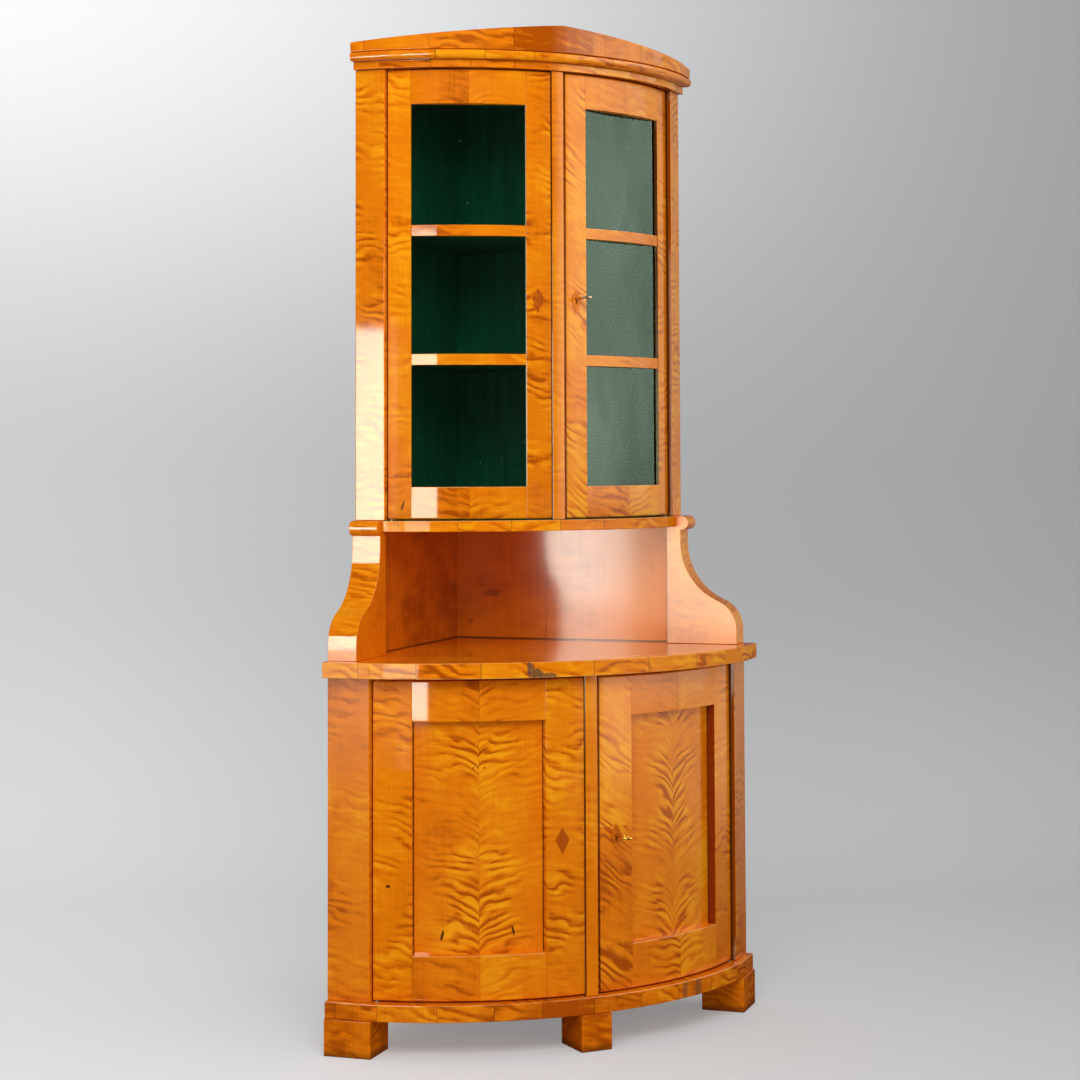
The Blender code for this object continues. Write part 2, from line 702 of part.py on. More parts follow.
def fit_glass(shop, door, frame_pieces, low, high):
    """Flat sheet behind the bars, in a rabbet that is open to the back of the frame."""
    lip = door.front - GLASS_RECESS
    start = Vector(door.arc.point(door.inner, lip))
    end = Vector(door.arc.point(door.outer, lip))
    along = (end - start).normalized()
    inwards = Vector((-along.y, along.x))

    def sheet(growth, depth):
        first = start - along * (GLASS_LAP + growth) - inwards * growth
        last = end + along * (GLASS_LAP + growth) - inwards * growth
        corners = [first, last, last + inwards * depth, first + inwards * depth]
        outline = [(door.side * corner.x, corner.y) for corner in corners]
        return extrusion(outline, low - GLASS_LAP - growth, high + GLASS_LAP + growth)

    door.keep(shop.add(door.name + "_glass", sheet(0.0, GLASS_THICKNESS), "glass"))
    through = 3.0 * UPPER_DOOR_THICKNESS
    rabbet = shop.add_cutter(door.name + "_glass_rabbet", sheet(SEAT, through))
    for piece in frame_pieces:
        shop.boolean(piece, rabbet)


def make_lower_door(shop, side):
    door = Door("lower", side, LOWER, LOWER_DOOR_THICKNESS, (Z_FLOOR, Z_TABLE_UNDERSIDE),
                (LOWER_DOOR_BOTTOM_GAP, LOWER_DOOR_TOP_GAP), LOWER_PANEL_INNER, LOWER_PANEL_OUTER)
    panel_low = door.bottom + LOWER_BOTTOM_RAIL
    panel_high = door.top - LOWER_TOP_RAIL
    hinge, meeting = door.add_stiles(shop)
    rails = [door.add_rail(shop, "top_rail", panel_high, door.top, door.top),
             door.add_rail(shop, "bottom_rail", door.bottom, panel_low, door.bottom)]
    fit_panel(shop, door, [hinge, meeting] + rails, panel_low, panel_high)
    return door, hinge, meeting


def make_upper_door(shop, side):
    door = Door("upper", side, UPPER, UPPER_DOOR_THICKNESS, (Z_UPPER_FLOOR, Z_CORNICE),
                (UPPER_DOOR_BOTTOM_GAP, UPPER_DOOR_TOP_GAP), UPPER_PANE_INNER, UPPER_PANE_OUTER)
    low, high = Z_GLASS, Z_GLASS_TOP
    hinge, meeting = door.add_stiles(shop)
    frame = [hinge, meeting, door.add_rail(shop, "top_rail", high, door.top, door.top),
             door.add_rail(shop, "bottom_rail", door.bottom, low, door.bottom)]
    for place, middle in zip(("bar_low", "bar_high"), bar_middles()):
        half = GLAZING_BAR_WIDTH / 2.0
        frame.append(door.add_rail(shop, place, middle - half, middle + half, None, GLAZING_BAR_RECESS))
    fit_glass(shop, door, frame, low, high)
    return door, hinge, meeting


def bar_middles():
    """Heights of the two glazing bars; the middle light takes what the low and high ones leave."""
    half = GLAZING_BAR_WIDTH / 2.0
    return Z_GLASS + LOW_LIGHT_HEIGHT + half, Z_GLASS_TOP - HIGH_LIGHT_HEIGHT - half


def make_astragal(shop, door):
    """Closing strip with rounded shoulders, planted on the left door's meeting edge."""
    right = LEFT_DOOR_EDGE
    left = right - ASTRAGAL_WIDTH
    back = -(door.carcass.reach - DOOR_RECESS_CENTRE) - SEAT
    face = back - ASTRAGAL_THICKNESS
    turn = math.radians(90.0)
    outline = [(left, back), (right, back)]
    for i in range(NARROW_SEGMENTS + 1):
        angle = -turn * i / NARROW_SEGMENTS
        outline.append((right - ASTRAGAL_ROUNDING * (1.0 - math.cos(angle)),
                        face + ASTRAGAL_ROUNDING * (1.0 + math.sin(angle))))
    for i in range(NARROW_SEGMENTS + 1):
        angle = turn * (1.0 - i / NARROW_SEGMENTS)
        outline.append((left + ASTRAGAL_ROUNDING * (1.0 - math.cos(angle)),
                        face + ASTRAGAL_ROUNDING * (1.0 - math.sin(angle))))
    mesh = extrusion(outline, door.floor + ASTRAGAL_END_GAP, door.ceiling - ASTRAGAL_END_GAP)
    door.keep(shop.add(door.level + "_astragal", mesh, "birch"))


def turned(profile, frame):
    """Solid of revolution about the frame's Z axis; the profile runs from the top to the bottom."""
    steps = 12
    line = bpy.data.meshes.new("profile")
    line.from_pydata([(radius, 0.0, z) for radius, z in profile],
                     [(i, i + 1) for i in range(len(profile) - 1)], [])
    blank = bpy.data.objects.new("profile", line)
    screw = blank.modifiers.new("turn", "SCREW")
    screw.axis = "Z"
    screw.steps = steps
    screw.render_steps = steps
    screw.use_merge_vertices = True
    screw.merge_threshold = 0.00001
    blank.matrix_world = frame
    return mesh_of(blank)


def fit_pin(shop, door, hinge_stile, board, place):
    """Pivot pin between a board and the end of the hinge stile, with a bearing collar below."""
    low_end = place == "bottom"
    door_end = door.bottom if low_end else door.top
    board_face = door.floor if low_end else door.ceiling
    inwards = 1.0 if low_end else -1.0
    tip = door_end + inwards * PIN_SHANK
    root = board_face - inwards * PIN_SHANK
    frame = door.pivot_frame(0.0)
    profile = [(0.0, max(tip, root)), (PIN_RADIUS, max(tip, root))]
    if low_end:
        profile += [(PIN_RADIUS, door_end - SEAT), (PIN_COLLAR_RADIUS, door_end - SEAT),
                    (PIN_COLLAR_RADIUS, board_face), (PIN_RADIUS, board_face)]
    profile += [(PIN_RADIUS, min(tip, root)), (0.0, min(tip, root))]
    shop.add(f"{door.name}_pin_{place}", turned(profile, frame), "steel")
    hole = PIN_RADIUS + PLAY
    spans = ((hinge_stile, door_end - inwards * PIN_SHANK, tip + inwards * BOTTOMING, "socket"),
             (board, root - inwards * BOTTOMING, (board_face + door_end) / 2.0, "seat"))
    for piece, start, end, kind in spans:
        mesh = cylinder(hole, min(start, end), max(start, end), frame)
        shop.boolean(piece, shop.add_cutter(f"{door.name}_pin_{place}_{kind}", mesh))


def key_frame(door, angle, z):
    """Axes of a lock at the leaf's face: Z out along the key, X to the side, Y up."""
    x, y = door.arc.point(angle, door.front)
    out = Vector((math.sin(angle), -math.cos(angle), 0.0))
    up = Vector((0.0, 0.0, 1.0))
    sideways = up.cross(out)
    frame = Matrix((sideways, up, out)).transposed().to_4x4()
    frame.translation = (x, y + BACK_Y, z)
    return frame


def fit_lock(shop, door, meeting_stile, angle, z):
    """Lock case behind the stile, keyhole through it and the key that turns in both."""
    frame = key_frame(door, angle, z)
    thickness = door.front - door.back
    corner_rise = door.back - math.sqrt(door.back ** 2 - (LOCK_WIDTH / 2.0) ** 2)
    case_front = -thickness - SEAT - corner_rise
    case = block((LOCK_WIDTH, LOCK_HEIGHT, LOCK_DEPTH), (0.0, 0.0, case_front - LOCK_DEPTH / 2.0), frame)
    lock = door.keep(shop.add(door.level + "_lock", case, "steel"))
    pocket_end = case_front - LOCK_POCKET_DEPTH
    pocket = cylinder(LOCK_POCKET_RADIUS, pocket_end, case_front + PLAY, frame)
    shop.boolean(lock, shop.add_cutter(door.level + "_lock_pocket", pocket))

    margin = 0.002
    hole = cylinder(KEY_SHAFT_RADIUS + 2.0 * PLAY, case_front, margin, frame)
    shop.boolean(meeting_stile, shop.add_cutter(door.level + "_keyhole", hole))
    slot_depth = margin - case_front
    slot = block((KEYHOLE_SLOT_WIDTH, KEYHOLE_SLOT_LENGTH, slot_depth),
                 (0.0, -KEYHOLE_SLOT_LENGTH / 2.0, margin - slot_depth / 2.0), frame)
    shop.boolean(meeting_stile, shop.add_cutter(door.level + "_keyhole_slot", slot))
    return make_key(shop, door, frame, pocket_end + BOTTOMING)


def make_key(shop, door, frame, tip):
    """Key at rest: its bow lies flat and its bit points sideways, inside the lock's pocket."""
    bow_middle = KEY_REACH - KEY_BOW_RADIUS - KEY_BOW_WIRE
    neck = bow_middle - KEY_BOW_RADIUS
    key = shop.add(door.level + "_key", cylinder(KEY_SHAFT_RADIUS, tip, neck, frame), "brass")
    collar_top = neck - KEY_COLLAR_LENGTH
    collar = cylinder(KEY_COLLAR_RADIUS, collar_top - KEY_COLLAR_LENGTH, collar_top, frame)
    shop.boolean(key, shop.add_cutter(door.level + "_key_collar", collar), "UNION")
    bit = block((KEY_BIT_LENGTH, KEY_BIT_THICKNESS, KEY_BIT_HEIGHT),
                (KEY_BIT_LENGTH / 2.0, 0.0, tip + KEY_BIT_HEIGHT / 2.0 + BOTTOMING), frame)
    shop.boolean(key, shop.add_cutter(door.level + "_key_bit", bit), "UNION")
    quarter = Matrix.Rotation(math.radians(90.0), 4, "X")
    bpy.ops.mesh.primitive_torus_add(major_segments=20, minor_segments=8, major_radius=KEY_BOW_RADIUS,
                                     minor_radius=KEY_BOW_WIRE)
    ring = bpy.context.object
    mesh = ring.data.copy()
    bpy.data.objects.remove(ring, do_unlink=True)
    mesh.transform(frame @ Matrix.Translation((0.0, 0.0, bow_middle)) @ quarter)
    shop.boolean(key, shop.add_cutter(door.level + "_key_bow", mesh), "UNION")
    return key, frame


def hang(shop, name, place, pieces, parent=None):
    """Parents the pieces to an empty on their joint's axis, without moving them."""
    joint = bpy.data.objects.new(name, None)
    shop.parts.objects.link(joint)
    joint.empty_display_size = 0.05
    joint.parent = parent
    joint.location = place if parent is None else Vector(place) - parent.location
    shift = Matrix.Translation(-Vector(place))
    for piece in pieces:
        piece.data.transform(shift)
        piece.parent = joint
    return joint


def make_doors(shop, boards):
    for level, make_door in (("lower", make_lower_door), ("upper", make_upper_door)):
        floor, ceiling = boards[level]
        joints = {}
        for side in (-1, 1):
            door, hinge_stile, meeting_stile = make_door(shop, side)
            fit_pin(shop, door, hinge_stile, floor, "bottom")
            fit_pin(shop, door, hinge_stile, ceiling, "top")
            lock_height = LOWER_LOCK_HEIGHT if level == "lower" else UPPER_LOCK_HEIGHT
            key_angle = LOWER_KEY_ANGLE if level == "lower" else UPPER_KEY_ANGLE
            pivot = Vector((door.pivot[0], door.pivot[1] + BACK_Y, door.bottom))
            if side < 0:
                make_astragal(shop, door)
                hang(shop, door.name + "_door_pivot", pivot, door.pieces)
                continue
            key, frame = fit_lock(shop, door, meeting_stile, key_angle, lock_height)
            joints[level] = hang(shop, door.name + "_door_pivot", pivot, door.pieces)
            bpy.context.view_layer.update()
            hang(shop, level + "_key_axis", frame.translation, [key], joints[level])


def main():
    clear_scene()
    shop = Workshop()
    make_feet(shop)
    base = make_board(shop, "base_board", LOWER, BASE_BOARD_OVERHANG, Z_BASE, Z_FLOOR)
    lower_backs = make_carcass_walls(shop, "lower", LOWER, Z_FLOOR, Z_FLOOR, Z_TABLE_UNDERSIDE)
    lower_setback = LOWER_DOOR_THICKNESS + LOCK_DEPTH + SHELF_DOOR_CLEARANCE
    make_shelf(shop, "lower_shelf", LOWER, lower_setback, Z_FLOOR + LOWER_SHELF_HEIGHT,
               lower_backs, "birch_back")
    table = make_board(shop, "table_top", LOWER, TABLE_TOP_OVERHANG, Z_TABLE_UNDERSIDE, Z_TABLE)
    make_brackets(shop)
    upper_backs = make_carcass_walls(shop, "upper", UPPER, Z_TABLE, Z_UPPER_FLOOR, Z_CORNICE)
    upper_bottom = make_upper_bottom(shop)
    upper_setback = UPPER_DOOR_THICKNESS + LOCK_DEPTH + SHELF_DOOR_CLEARANCE
    for name, middle in zip(("low", "high"), bar_middles()):
        make_shelf(shop, "upper_shelf_" + name, UPPER, upper_setback, middle, upper_backs,
                   "painted_shelf")
    cornice = make_cornice(shop)
    make_pediment(shop)
    make_doors(shop, {"lower": (base, table), "upper": (upper_bottom, cornice)})


main()
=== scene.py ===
"""Looks of the bow-fronted corner cabinet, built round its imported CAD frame.

Plan points are taken from the cabinet's back corner, where its two backs meet in a right angle.
"Wall distance" runs from that corner along a back, "cant distance" runs square to it.
"""

import math

import bmesh
import bpy
from bpy.props import FloatProperty, FloatVectorProperty, IntProperty, PointerProperty
from mathutils import Matrix, Vector


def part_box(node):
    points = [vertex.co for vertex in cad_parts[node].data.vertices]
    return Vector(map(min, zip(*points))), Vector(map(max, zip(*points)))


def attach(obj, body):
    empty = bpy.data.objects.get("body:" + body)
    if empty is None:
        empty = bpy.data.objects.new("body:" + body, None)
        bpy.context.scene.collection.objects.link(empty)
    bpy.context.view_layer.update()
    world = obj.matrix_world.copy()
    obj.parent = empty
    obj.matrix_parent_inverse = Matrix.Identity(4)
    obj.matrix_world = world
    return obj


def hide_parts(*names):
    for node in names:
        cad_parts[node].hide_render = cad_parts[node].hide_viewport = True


bl_info = {
    "name": "Bow-fronted corner cabinet",
    "version": (1, 0, 0),
    "blender": (4, 5, 0),
    "location": "3D View > Sidebar > Cabinet",
    "description": "Builds the veneered pieces, glass and stage of a bow-fronted corner cabinet",
    "category": "Object",
}

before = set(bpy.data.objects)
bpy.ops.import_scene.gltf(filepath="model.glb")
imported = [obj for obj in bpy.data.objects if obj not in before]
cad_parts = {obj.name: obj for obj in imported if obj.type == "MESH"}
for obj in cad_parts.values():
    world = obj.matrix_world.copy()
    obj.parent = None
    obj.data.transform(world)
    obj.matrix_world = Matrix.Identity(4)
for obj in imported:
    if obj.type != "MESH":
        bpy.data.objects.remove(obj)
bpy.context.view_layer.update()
BACK_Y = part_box("foot_back")[1].y
ROOT_2 = math.sqrt(2.0)
ARC_STEP = math.radians(1.25)
WELD = 0.00001
CLOSE = 0.00005
SIDES = ((-1, "left"), (1, "right"))
VIEW_YAW = 0.4601
KEYHOLE_RADIUS = 0.0036
SLOT_WIDTH = 0.0034
SLOT_DROP = 0.0125


# Settings

def length(name, default, description):
    return FloatProperty(name=name, description=description, default=default, min=0.0,
                         unit="LENGTH", precision=4)


def colour(name, default, description):
    return FloatVectorProperty(name=name, description=description, default=default, size=3,
                               min=0.0, max=1.0, subtype="COLOR")


class CabinetLevels(bpy.types.PropertyGroup):
    """Heights above the floor and overhangs beyond the carcasses"""
    base: length("Base board", 0.0765, "Underside of the base board")
    floor: length("Lower floor", 0.112, "Top of the base board")
    table_underside: length("Table underside", 0.7863, "Underside of the table top")
    table: length("Table", 0.820, "Top of the table top")
    upper_bottom: length("Upper bottom", 1.088, "Underside of the upper cupboard")
    upper_floor: length("Upper floor", 1.1125, "Floor of the upper cupboard")
    cornice: length("Cornice", 2.1018, "Underside of the cornice")
    torus: length("Torus", 2.1186, "Underside of the half-round moulding")
    pediment: length("Pediment", 2.139, "Underside of the gabled board")
    pediment_end: length("Pediment end", 2.160, "Top of the gabled board at its ends")
    apex: length("Apex", 2.200, "Top of the gabled board")
    foot_overhang: length("Foot overhang", 0.0195, "How far a foot stands out")
    base_overhang: length("Base overhang", 0.0155, "How far the base board stands out")
    table_overhang: length("Table overhang", 0.030, "How far the table top stands out")
    upper_bottom_overhang: length("Upper bottom overhang", 0.006, "How far the upper floor stands out")
    band_overhang: length("Band overhang", 0.011, "How far the cornice's flat band stands out")
    torus_overhang: length("Torus overhang", 0.032, "How far the half-round moulding stands out")
    pediment_overhang: length("Pediment overhang", 0.029, "How far the gabled board stands out")
    arris: length("Arris", 0.0007, "Rounding of an ordinary edge")


class BoardSizes(bpy.types.PropertyGroup):
    """Thicknesses and widths of the boards, feet and brackets"""
    back: length("Back", 0.030, "Thickness of a back")
    stile: length("Canted stile", 0.018, "Thickness of a canted stile")
    shelf: length("Shelf", 0.018, "Thickness of a shelf")
    shelf_setback: length("Shelf setback", 0.049, "How far a shelf's front lies behind the doors' faces")
    shelf_housing: length("Shelf housing", 0.006, "How far a shelf is let into a back")
    pediment: length("Gabled board", 0.020, "Thickness of the gabled board")
    foot_width: length("Foot width", 0.106, "Width of a side foot across the cant")
    foot_depth: length("Foot depth", 0.098, "Depth of a side foot along the wall")
    centre_foot_width: length("Centre foot width", 0.072, "Width of the foot under the bow")
    centre_foot_depth: length("Centre foot depth", 0.095, "Depth of the foot under the bow")
    back_foot: length("Back foot", 0.090, "Side of the square back foot")
    bracket: length("Bracket", 0.0657, "Width of a scrolled bracket")
    bracket_foot: length("Bracket foot", 0.1473, "Reach of the bracket's foot beyond the upper cupboard")
    bracket_neck: length("Bracket neck", 0.0162, "Reach of the bracket's neck")
    roll_reach: length("Roll reach", 0.0188, "Reach of the roll's middle")
    roll: length("Roll", 0.016, "Radius of the roll")
    foot_straight: length("Foot's straight", 0.033, "Height of the straight part of the foot")
    neck_straight: length("Neck's straight", 0.030, "Height of the straight part of the neck")
    hollow_share: FloatProperty(name="Hollow share", description="Share of the curve that is hollow",
                                default=0.67, min=0.1, max=0.9)
    gap: length("Gap", 0.0003, "Gap between two pieces that touch")


class LowerSizes(bpy.types.PropertyGroup):
    """Plan and doors of the lower cupboard"""
    wall: length("Back length", 0.7268, "Length of a back along the wall")
    cant: length("Cant", 0.095, "Width of a canted stile")
    bow: length("Bow", 0.153, "Bow of the front")
    thickness: length("Door thickness", 0.034, "Thickness of a door")
    bottom_gap: length("Bottom gap", 0.003, "Gap below a door")
    top_gap: length("Top gap", 0.0056, "Gap above a door")
    inner: length("Inner edge", 0.1028, "Where the panel begins, from the middle line")
    outer: length("Outer edge", 0.3682, "Where the panel ends, from the middle line")
    top_rail: length("Top rail", 0.0857, "Height of the top rail")
    bottom_rail: length("Bottom rail", 0.0941, "Height of the bottom rail")
    lock_height: length("Lock height", 0.442, "Height of the key")
    inlay_height: length("Inlay height", 0.0566, "Height of the kite-shaped inlay")
    inlay_width: length("Inlay width", 0.0310, "Width of the kite-shaped inlay")
    inlay_above: length("Inlay above", 0.0256, "Height of the inlay above its widest place")
    inlay_shift: length("Inlay shift", 0.0060, "How much further out the left inlay sits")


class UpperSizes(bpy.types.PropertyGroup):
    """Plan and doors of the upper cupboard"""
    wall: length("Back length", 0.5788, "Length of a back along the wall")
    cant: length("Cant", 0.069, "Width of a canted stile")
    bow: length("Bow", 0.1295, "Bow of the front")
    thickness: length("Door thickness", 0.030, "Thickness of a door")
    bottom_gap: length("Bottom gap", 0.0023, "Gap below a door")
    top_gap: length("Top gap", 0.0021, "Gap above a door")
    inner: length("Inner edge", 0.0738, "Where the glass begins, from the middle line")
    outer: length("Outer edge", 0.3094, "Where the glass ends, from the middle line")
    top_rail: length("Top rail", 0.0755, "Height of the top rail")
    bottom_rail: length("Bottom rail", 0.0703, "Height of the bottom rail")
    lock_height: length("Lock height", 1.599, "Height of the key")
    inlay_height: length("Inlay height", 0.0553, "Height of the kite-shaped inlay")
    inlay_width: length("Inlay width", 0.0280, "Width of the kite-shaped inlay")
    inlay_above: length("Inlay above", 0.0213, "Height of the inlay above its widest place")
    inlay_shift: length("Inlay shift", 0.0015, "How much further out the left inlay sits")
    low_light: length("Low light", 0.2658, "Height of the low pane")
    high_light: length("High light", 0.2668, "Height of the high pane")
    bar: length("Bar", 0.0239, "Height of a glazing bar")
    bar_recess: length("Bar recess", 0.0015, "How far a bar lies behind the frame's face")


class DoorSizes(bpy.types.PropertyGroup):
    """Sizes that the doors of both cupboards share"""
    recess_end: length("Recess at the hinge", 0.011, "How far the face lies back at the hinge")
    recess_centre: length("Recess at the middle", 0.003, "How far the face lies back at the middle")
    hinge_gap: length("Hinge gap", 0.0025, "Gap between a door and its stile")
    easing: length("Rounding", 0.004, "Rounding of a door's outside edges")
    left_edge: length("Left door's edge", 0.0135, "Where the left door ends, right of the middle")
    right_edge: length("Right door's edge", 0.019, "Where the right door begins")
    panel_recess: length("Panel recess", 0.019, "How far the panel lies back")
    panel: length("Panel", 0.009, "Thickness of the panel")
    strip_width: length("Closing strip", 0.0305, "Width of the closing strip")
    strip_thickness: length("Strip thickness", 0.006, "Thickness of the closing strip")
    strip_round: length("Strip rounding", 0.0035, "Rounding of the closing strip's shoulders")
    glass_recess: length("Glass recess", 0.008, "Thickness of the lip in front of the glass's edges")
    glass_lap: length("Glass lap", 0.0064, "How far the glass runs behind the lip")
    pin_clearance: length("Pin clearance", 0.0034, "Radius of the hole round a pivot pin")
    pin_socket: length("Pin socket", 0.0186, "Depth of the hole round a pivot pin")
    pivot_inset: length("Pivot inset", 0.009, "Distance of the pivot from the door's hinge edge")
    pivot_depth: length("Pivot depth", 0.007, "Distance of the pivot behind the face")


class FinishSettings(bpy.types.PropertyGroup):
    """Colours of the finishes and the seed of the figure"""
    seed: IntProperty(name="Seed", description="Shifts the whole figure of the wood", default=3, min=0)
    dark: colour("Dark flame", (0.46, 0.083, 0.0015), "Darkest colour of the polished birch")
    middle: colour("Middle", (0.84, 0.208, 0.0030), "Usual colour of the polished birch")
    light: colour("Light", (0.98, 0.375, 0.0070), "Lightest colour of the polished birch")
    # Joint is also the colour that the painted shade lines and the keyhole shade are mixed towards.
    joint: colour("Joint", (0.12, 0.030, 0.004), "Colour of a joint between two veneers")
    # Painted shade on the frame's side face beside the lower right panel.
    reveal: colour("Reveal", (0.205, 0.0125, 0.0003), "Edge of the frame beside the lower right panel")
    # Pale colour of the painted highlights along the arrises, which are partly wear.
    worn: colour("Worn", (0.86, 0.50, 0.17), "Pale wood along a worn edge")
    ground: colour("Ground", (0.17, 0.075, 0.035), "Bare ground where veneer is lost")
    lamp: colour("Lamp", (1.0, 0.96, 0.82), "Tint of what the varnish mirrors")
    paint: colour("Paint", (0.004, 0.110, 0.052), "Dark green paint inside the upper cupboard")
    chip: colour("Chip", (0.62, 0.55, 0.42), "Chalk showing where the paint has chipped")
    brass: colour("Brass", (0.75, 0.48, 0.10), "Brass of the keys")
    steel: colour("Steel", (0.22, 0.19, 0.16), "Aged steel of the pins and locks")


# Plan

class Arc:
    """Circle in plan with its centre on the middle line; angles start straight ahead."""

    def __init__(self, reach, half_width, side_reach):
        bow = reach - side_reach
        self.radius = (half_width ** 2 + bow ** 2) / (2.0 * bow)
        self.centre = self.radius - reach

    def point(self, angle, radius):
        return radius * math.sin(angle), self.centre - radius * math.cos(angle)

    def at_x(self, x, radius):
        return math.asin(x / radius)

    def at_cant(self, cant, radius):
        shift = ROOT_2 * cant + self.centre
        return math.asin((math.sqrt(2.0 * radius ** 2 - shift ** 2) - shift) / 2.0 / radius)

    def at_wall(self, wall, radius):
        shift = ROOT_2 * wall + self.centre
        return math.asin((shift - math.sqrt(2.0 * radius ** 2 - shift ** 2)) / 2.0 / radius)

    def sweep(self, radius, start, end, even=False):
        count = max(2, math.ceil(abs(end - start) / ARC_STEP))
        count += count % 2 if even else 0
        return [self.point(start + (end - start) * i / count, radius) for i in range(count + 1)]


def from_wall(wall, cant, side):
    return side * (wall - cant) / ROOT_2, -(wall + cant) / ROOT_2


class Plan:
    """Front arc, door arc and outlines of one carcass."""

    def __init__(self, sizes, doors):
        self.sizes = sizes
        half = (sizes.wall - sizes.cant) / ROOT_2
        side = (sizes.wall + sizes.cant) / ROOT_2
        self.reach = side + sizes.bow
        self.front = Arc(self.reach, half, side)
        end = doors.recess_end / ROOT_2
        self.doors = Arc(self.reach - doors.recess_centre, half - end, side - end)

    def front_line(self, overhang):
        wall = self.sizes.wall + overhang
        radius = self.front.radius + overhang
        angle = self.front.at_wall(wall, radius)
        arc = self.front.sweep(radius, angle, -angle, even=True)
        return [from_wall(wall, 0.0, 1)] + arc + [from_wall(wall, 0.0, -1)]

    def outline(self, overhang):
        return [(0.0, 0.0)] + self.front_line(overhang)


class Settings:
    """The scene's property groups and the plans worked out from them."""

    def __init__(self):
        scene = bpy.context.scene
        self.levels = scene.cabinet_levels
        self.boards = scene.cabinet_boards
        self.doors = scene.cabinet_doors
        self.finish = scene.cabinet_finish
        self.lower = Plan(scene.cabinet_lower, self.doors)
        self.upper = Plan(scene.cabinet_upper, self.doors)


# Meshes

def corner_frame():
    return Matrix.Translation((0.0, BACK_Y, 0.0))


def wall_frame(side):
    """Axes along the wall, up, and square to the wall into the cabinet."""
    along = Vector((side / ROOT_2, -1.0 / ROOT_2, 0.0))
    inwards = Vector((-side / ROOT_2, -1.0 / ROOT_2, 0.0))
    axes = Matrix((along, Vector((0.0, 0.0, 1.0)), inwards)).transposed().to_4x4()
    axes.translation = (0.0, BACK_Y, 0.0)
    return axes


def prism(outline, low, high, axes=None):
    """Straight-sided solid over a plan outline, or over an outline in the plane of the axes."""
    shape = bmesh.new()
    rings = [[shape.verts.new((x, y, z)) for x, y in outline] for z in (low, high)]
    count = len(outline)
    for i in range(count):
        j = (i + 1) % count
        shape.faces.new((rings[0][i], rings[0][j], rings[1][j], rings[1][i]))
    shape.faces.new(list(reversed(rings[0])))
    shape.faces.new(rings[1])
    shape.transform(corner_frame() if axes is None else axes)
    bmesh.ops.recalc_face_normals(shape, faces=shape.faces)
    return shape


def to_mesh(shape, name):
    mesh = bpy.data.meshes.new(name)
    shape.to_mesh(mesh)
    shape.free()
    return mesh


def baked(name, mesh, modifiers):
    """Plain mesh of a blank after its modifiers, each given as (type, settings)."""
    for face in mesh.polygons:
        face.use_smooth = True
    blank = bpy.data.objects.new(name, mesh)
    bpy.context.scene.collection.objects.link(blank)
    for kind, values in modifiers:
        modifier = blank.modifiers.new(kind.lower(), kind)
        for key, value in values.items():
            if isinstance(key, tuple):
                modifier[key[0]] = value
            else:
                setattr(modifier, key, value)
    bpy.context.view_layer.update()
    evaluated = blank.evaluated_get(bpy.context.evaluated_depsgraph_get())
    result = bpy.data.meshes.new_from_object(evaluated, preserve_all_data_layers=True,
                                             depsgraph=bpy.context.evaluated_depsgraph_get())
    bpy.data.objects.remove(blank, do_unlink=True)
    result.name = name
    return result


def arris(width, segments=2):
    return ("BEVEL", {"width": width, "segments": segments, "limit_method": "ANGLE",
                      "angle_limit": math.radians(40.0), "harden_normals": True,
                      "use_clamp_overlap": True})


def cut(cutter):
    return ("BOOLEAN", {"operation": "DIFFERENCE", "solver": "EXACT", "object": cutter})


def cutter_object(name, meshes):
    """Hidden blank that a Boolean takes away; it is removed once the piece is baked."""
    whole = bmesh.new()
    for mesh in meshes:
        whole.from_mesh(mesh)
    cutter = bpy.data.objects.new(name, to_mesh(whole, name))
    bpy.context.scene.collection.objects.link(cutter)
    cutter.hide_render = True
    return cutter


def remove(blanks):
    for blank in blanks:
        bpy.data.objects.remove(blank, do_unlink=True)


def rod(radius, low, high, axes):
    shape = bmesh.new()
    middle = Matrix.Translation((0.0, 0.0, (low + high) / 2.0))
    bmesh.ops.create_cone(shape, cap_ends=True, segments=24, radius1=radius, radius2=radius,
                          depth=high - low, matrix=axes @ middle)
    return to_mesh(shape, "rod")


def box_mesh(size, centre, axes):
    shape = bmesh.new()
    bmesh.ops.create_cube(shape, size=1.0,
                          matrix=axes @ Matrix.Translation(centre) @ Matrix.Diagonal((*size, 1.0)))
    return to_mesh(shape, "box")


def unwrap(mesh, flat_map):
    """UV map in metres: flat_map(point, normal) gives across and along the grain."""
    layer = mesh.uv_layers.get("grain") or mesh.uv_layers.new(name="grain")
    for face in mesh.polygons:
        normal = face.normal
        for loop in face.loop_indices:
            point = mesh.vertices[mesh.loops[loop].vertex_index].co
            layer.data[loop].uv = flat_map(Vector((point.x, point.y - BACK_Y, point.z)), normal)
    return mesh


def bow_map(arc, radius, origin=0.0, shift=(0.0, 0.0)):
    """Map for a piece that follows an arc: across is the arc's length from the origin angle."""
    def flat(point, normal):
        angle = math.atan2(point.x, arc.centre - point.y)
        across = (angle - origin) * radius + shift[0]
        depth = math.hypot(point.x, point.y - arc.centre) - radius
        outward = Vector((math.sin(angle), -math.cos(angle), 0.0))
        if abs(normal.z) > 0.75:
            return across, depth + shift[1] + point.z
        if abs(normal.dot(outward)) > 0.6:
            return across, point.z + shift[1]
        return across + depth, point.z + shift[1]
    return flat


def wall_map(side, shift=(0.0, 0.0)):
    """Map for a board at a wall or a cant: across follows the board, along is the height."""
    def flat(point, normal):
        wall = (side * point.x - point.y) / ROOT_2
        cant = (-side * point.x - point.y) / ROOT_2
        facing = abs(side * normal.x - normal.y) / ROOT_2
        if abs(normal.z) > 0.75:
            return cant + shift[0], wall + shift[1]
        return (cant if facing > 0.7 else wall) + shift[0], point.z + shift[1]
    return flat


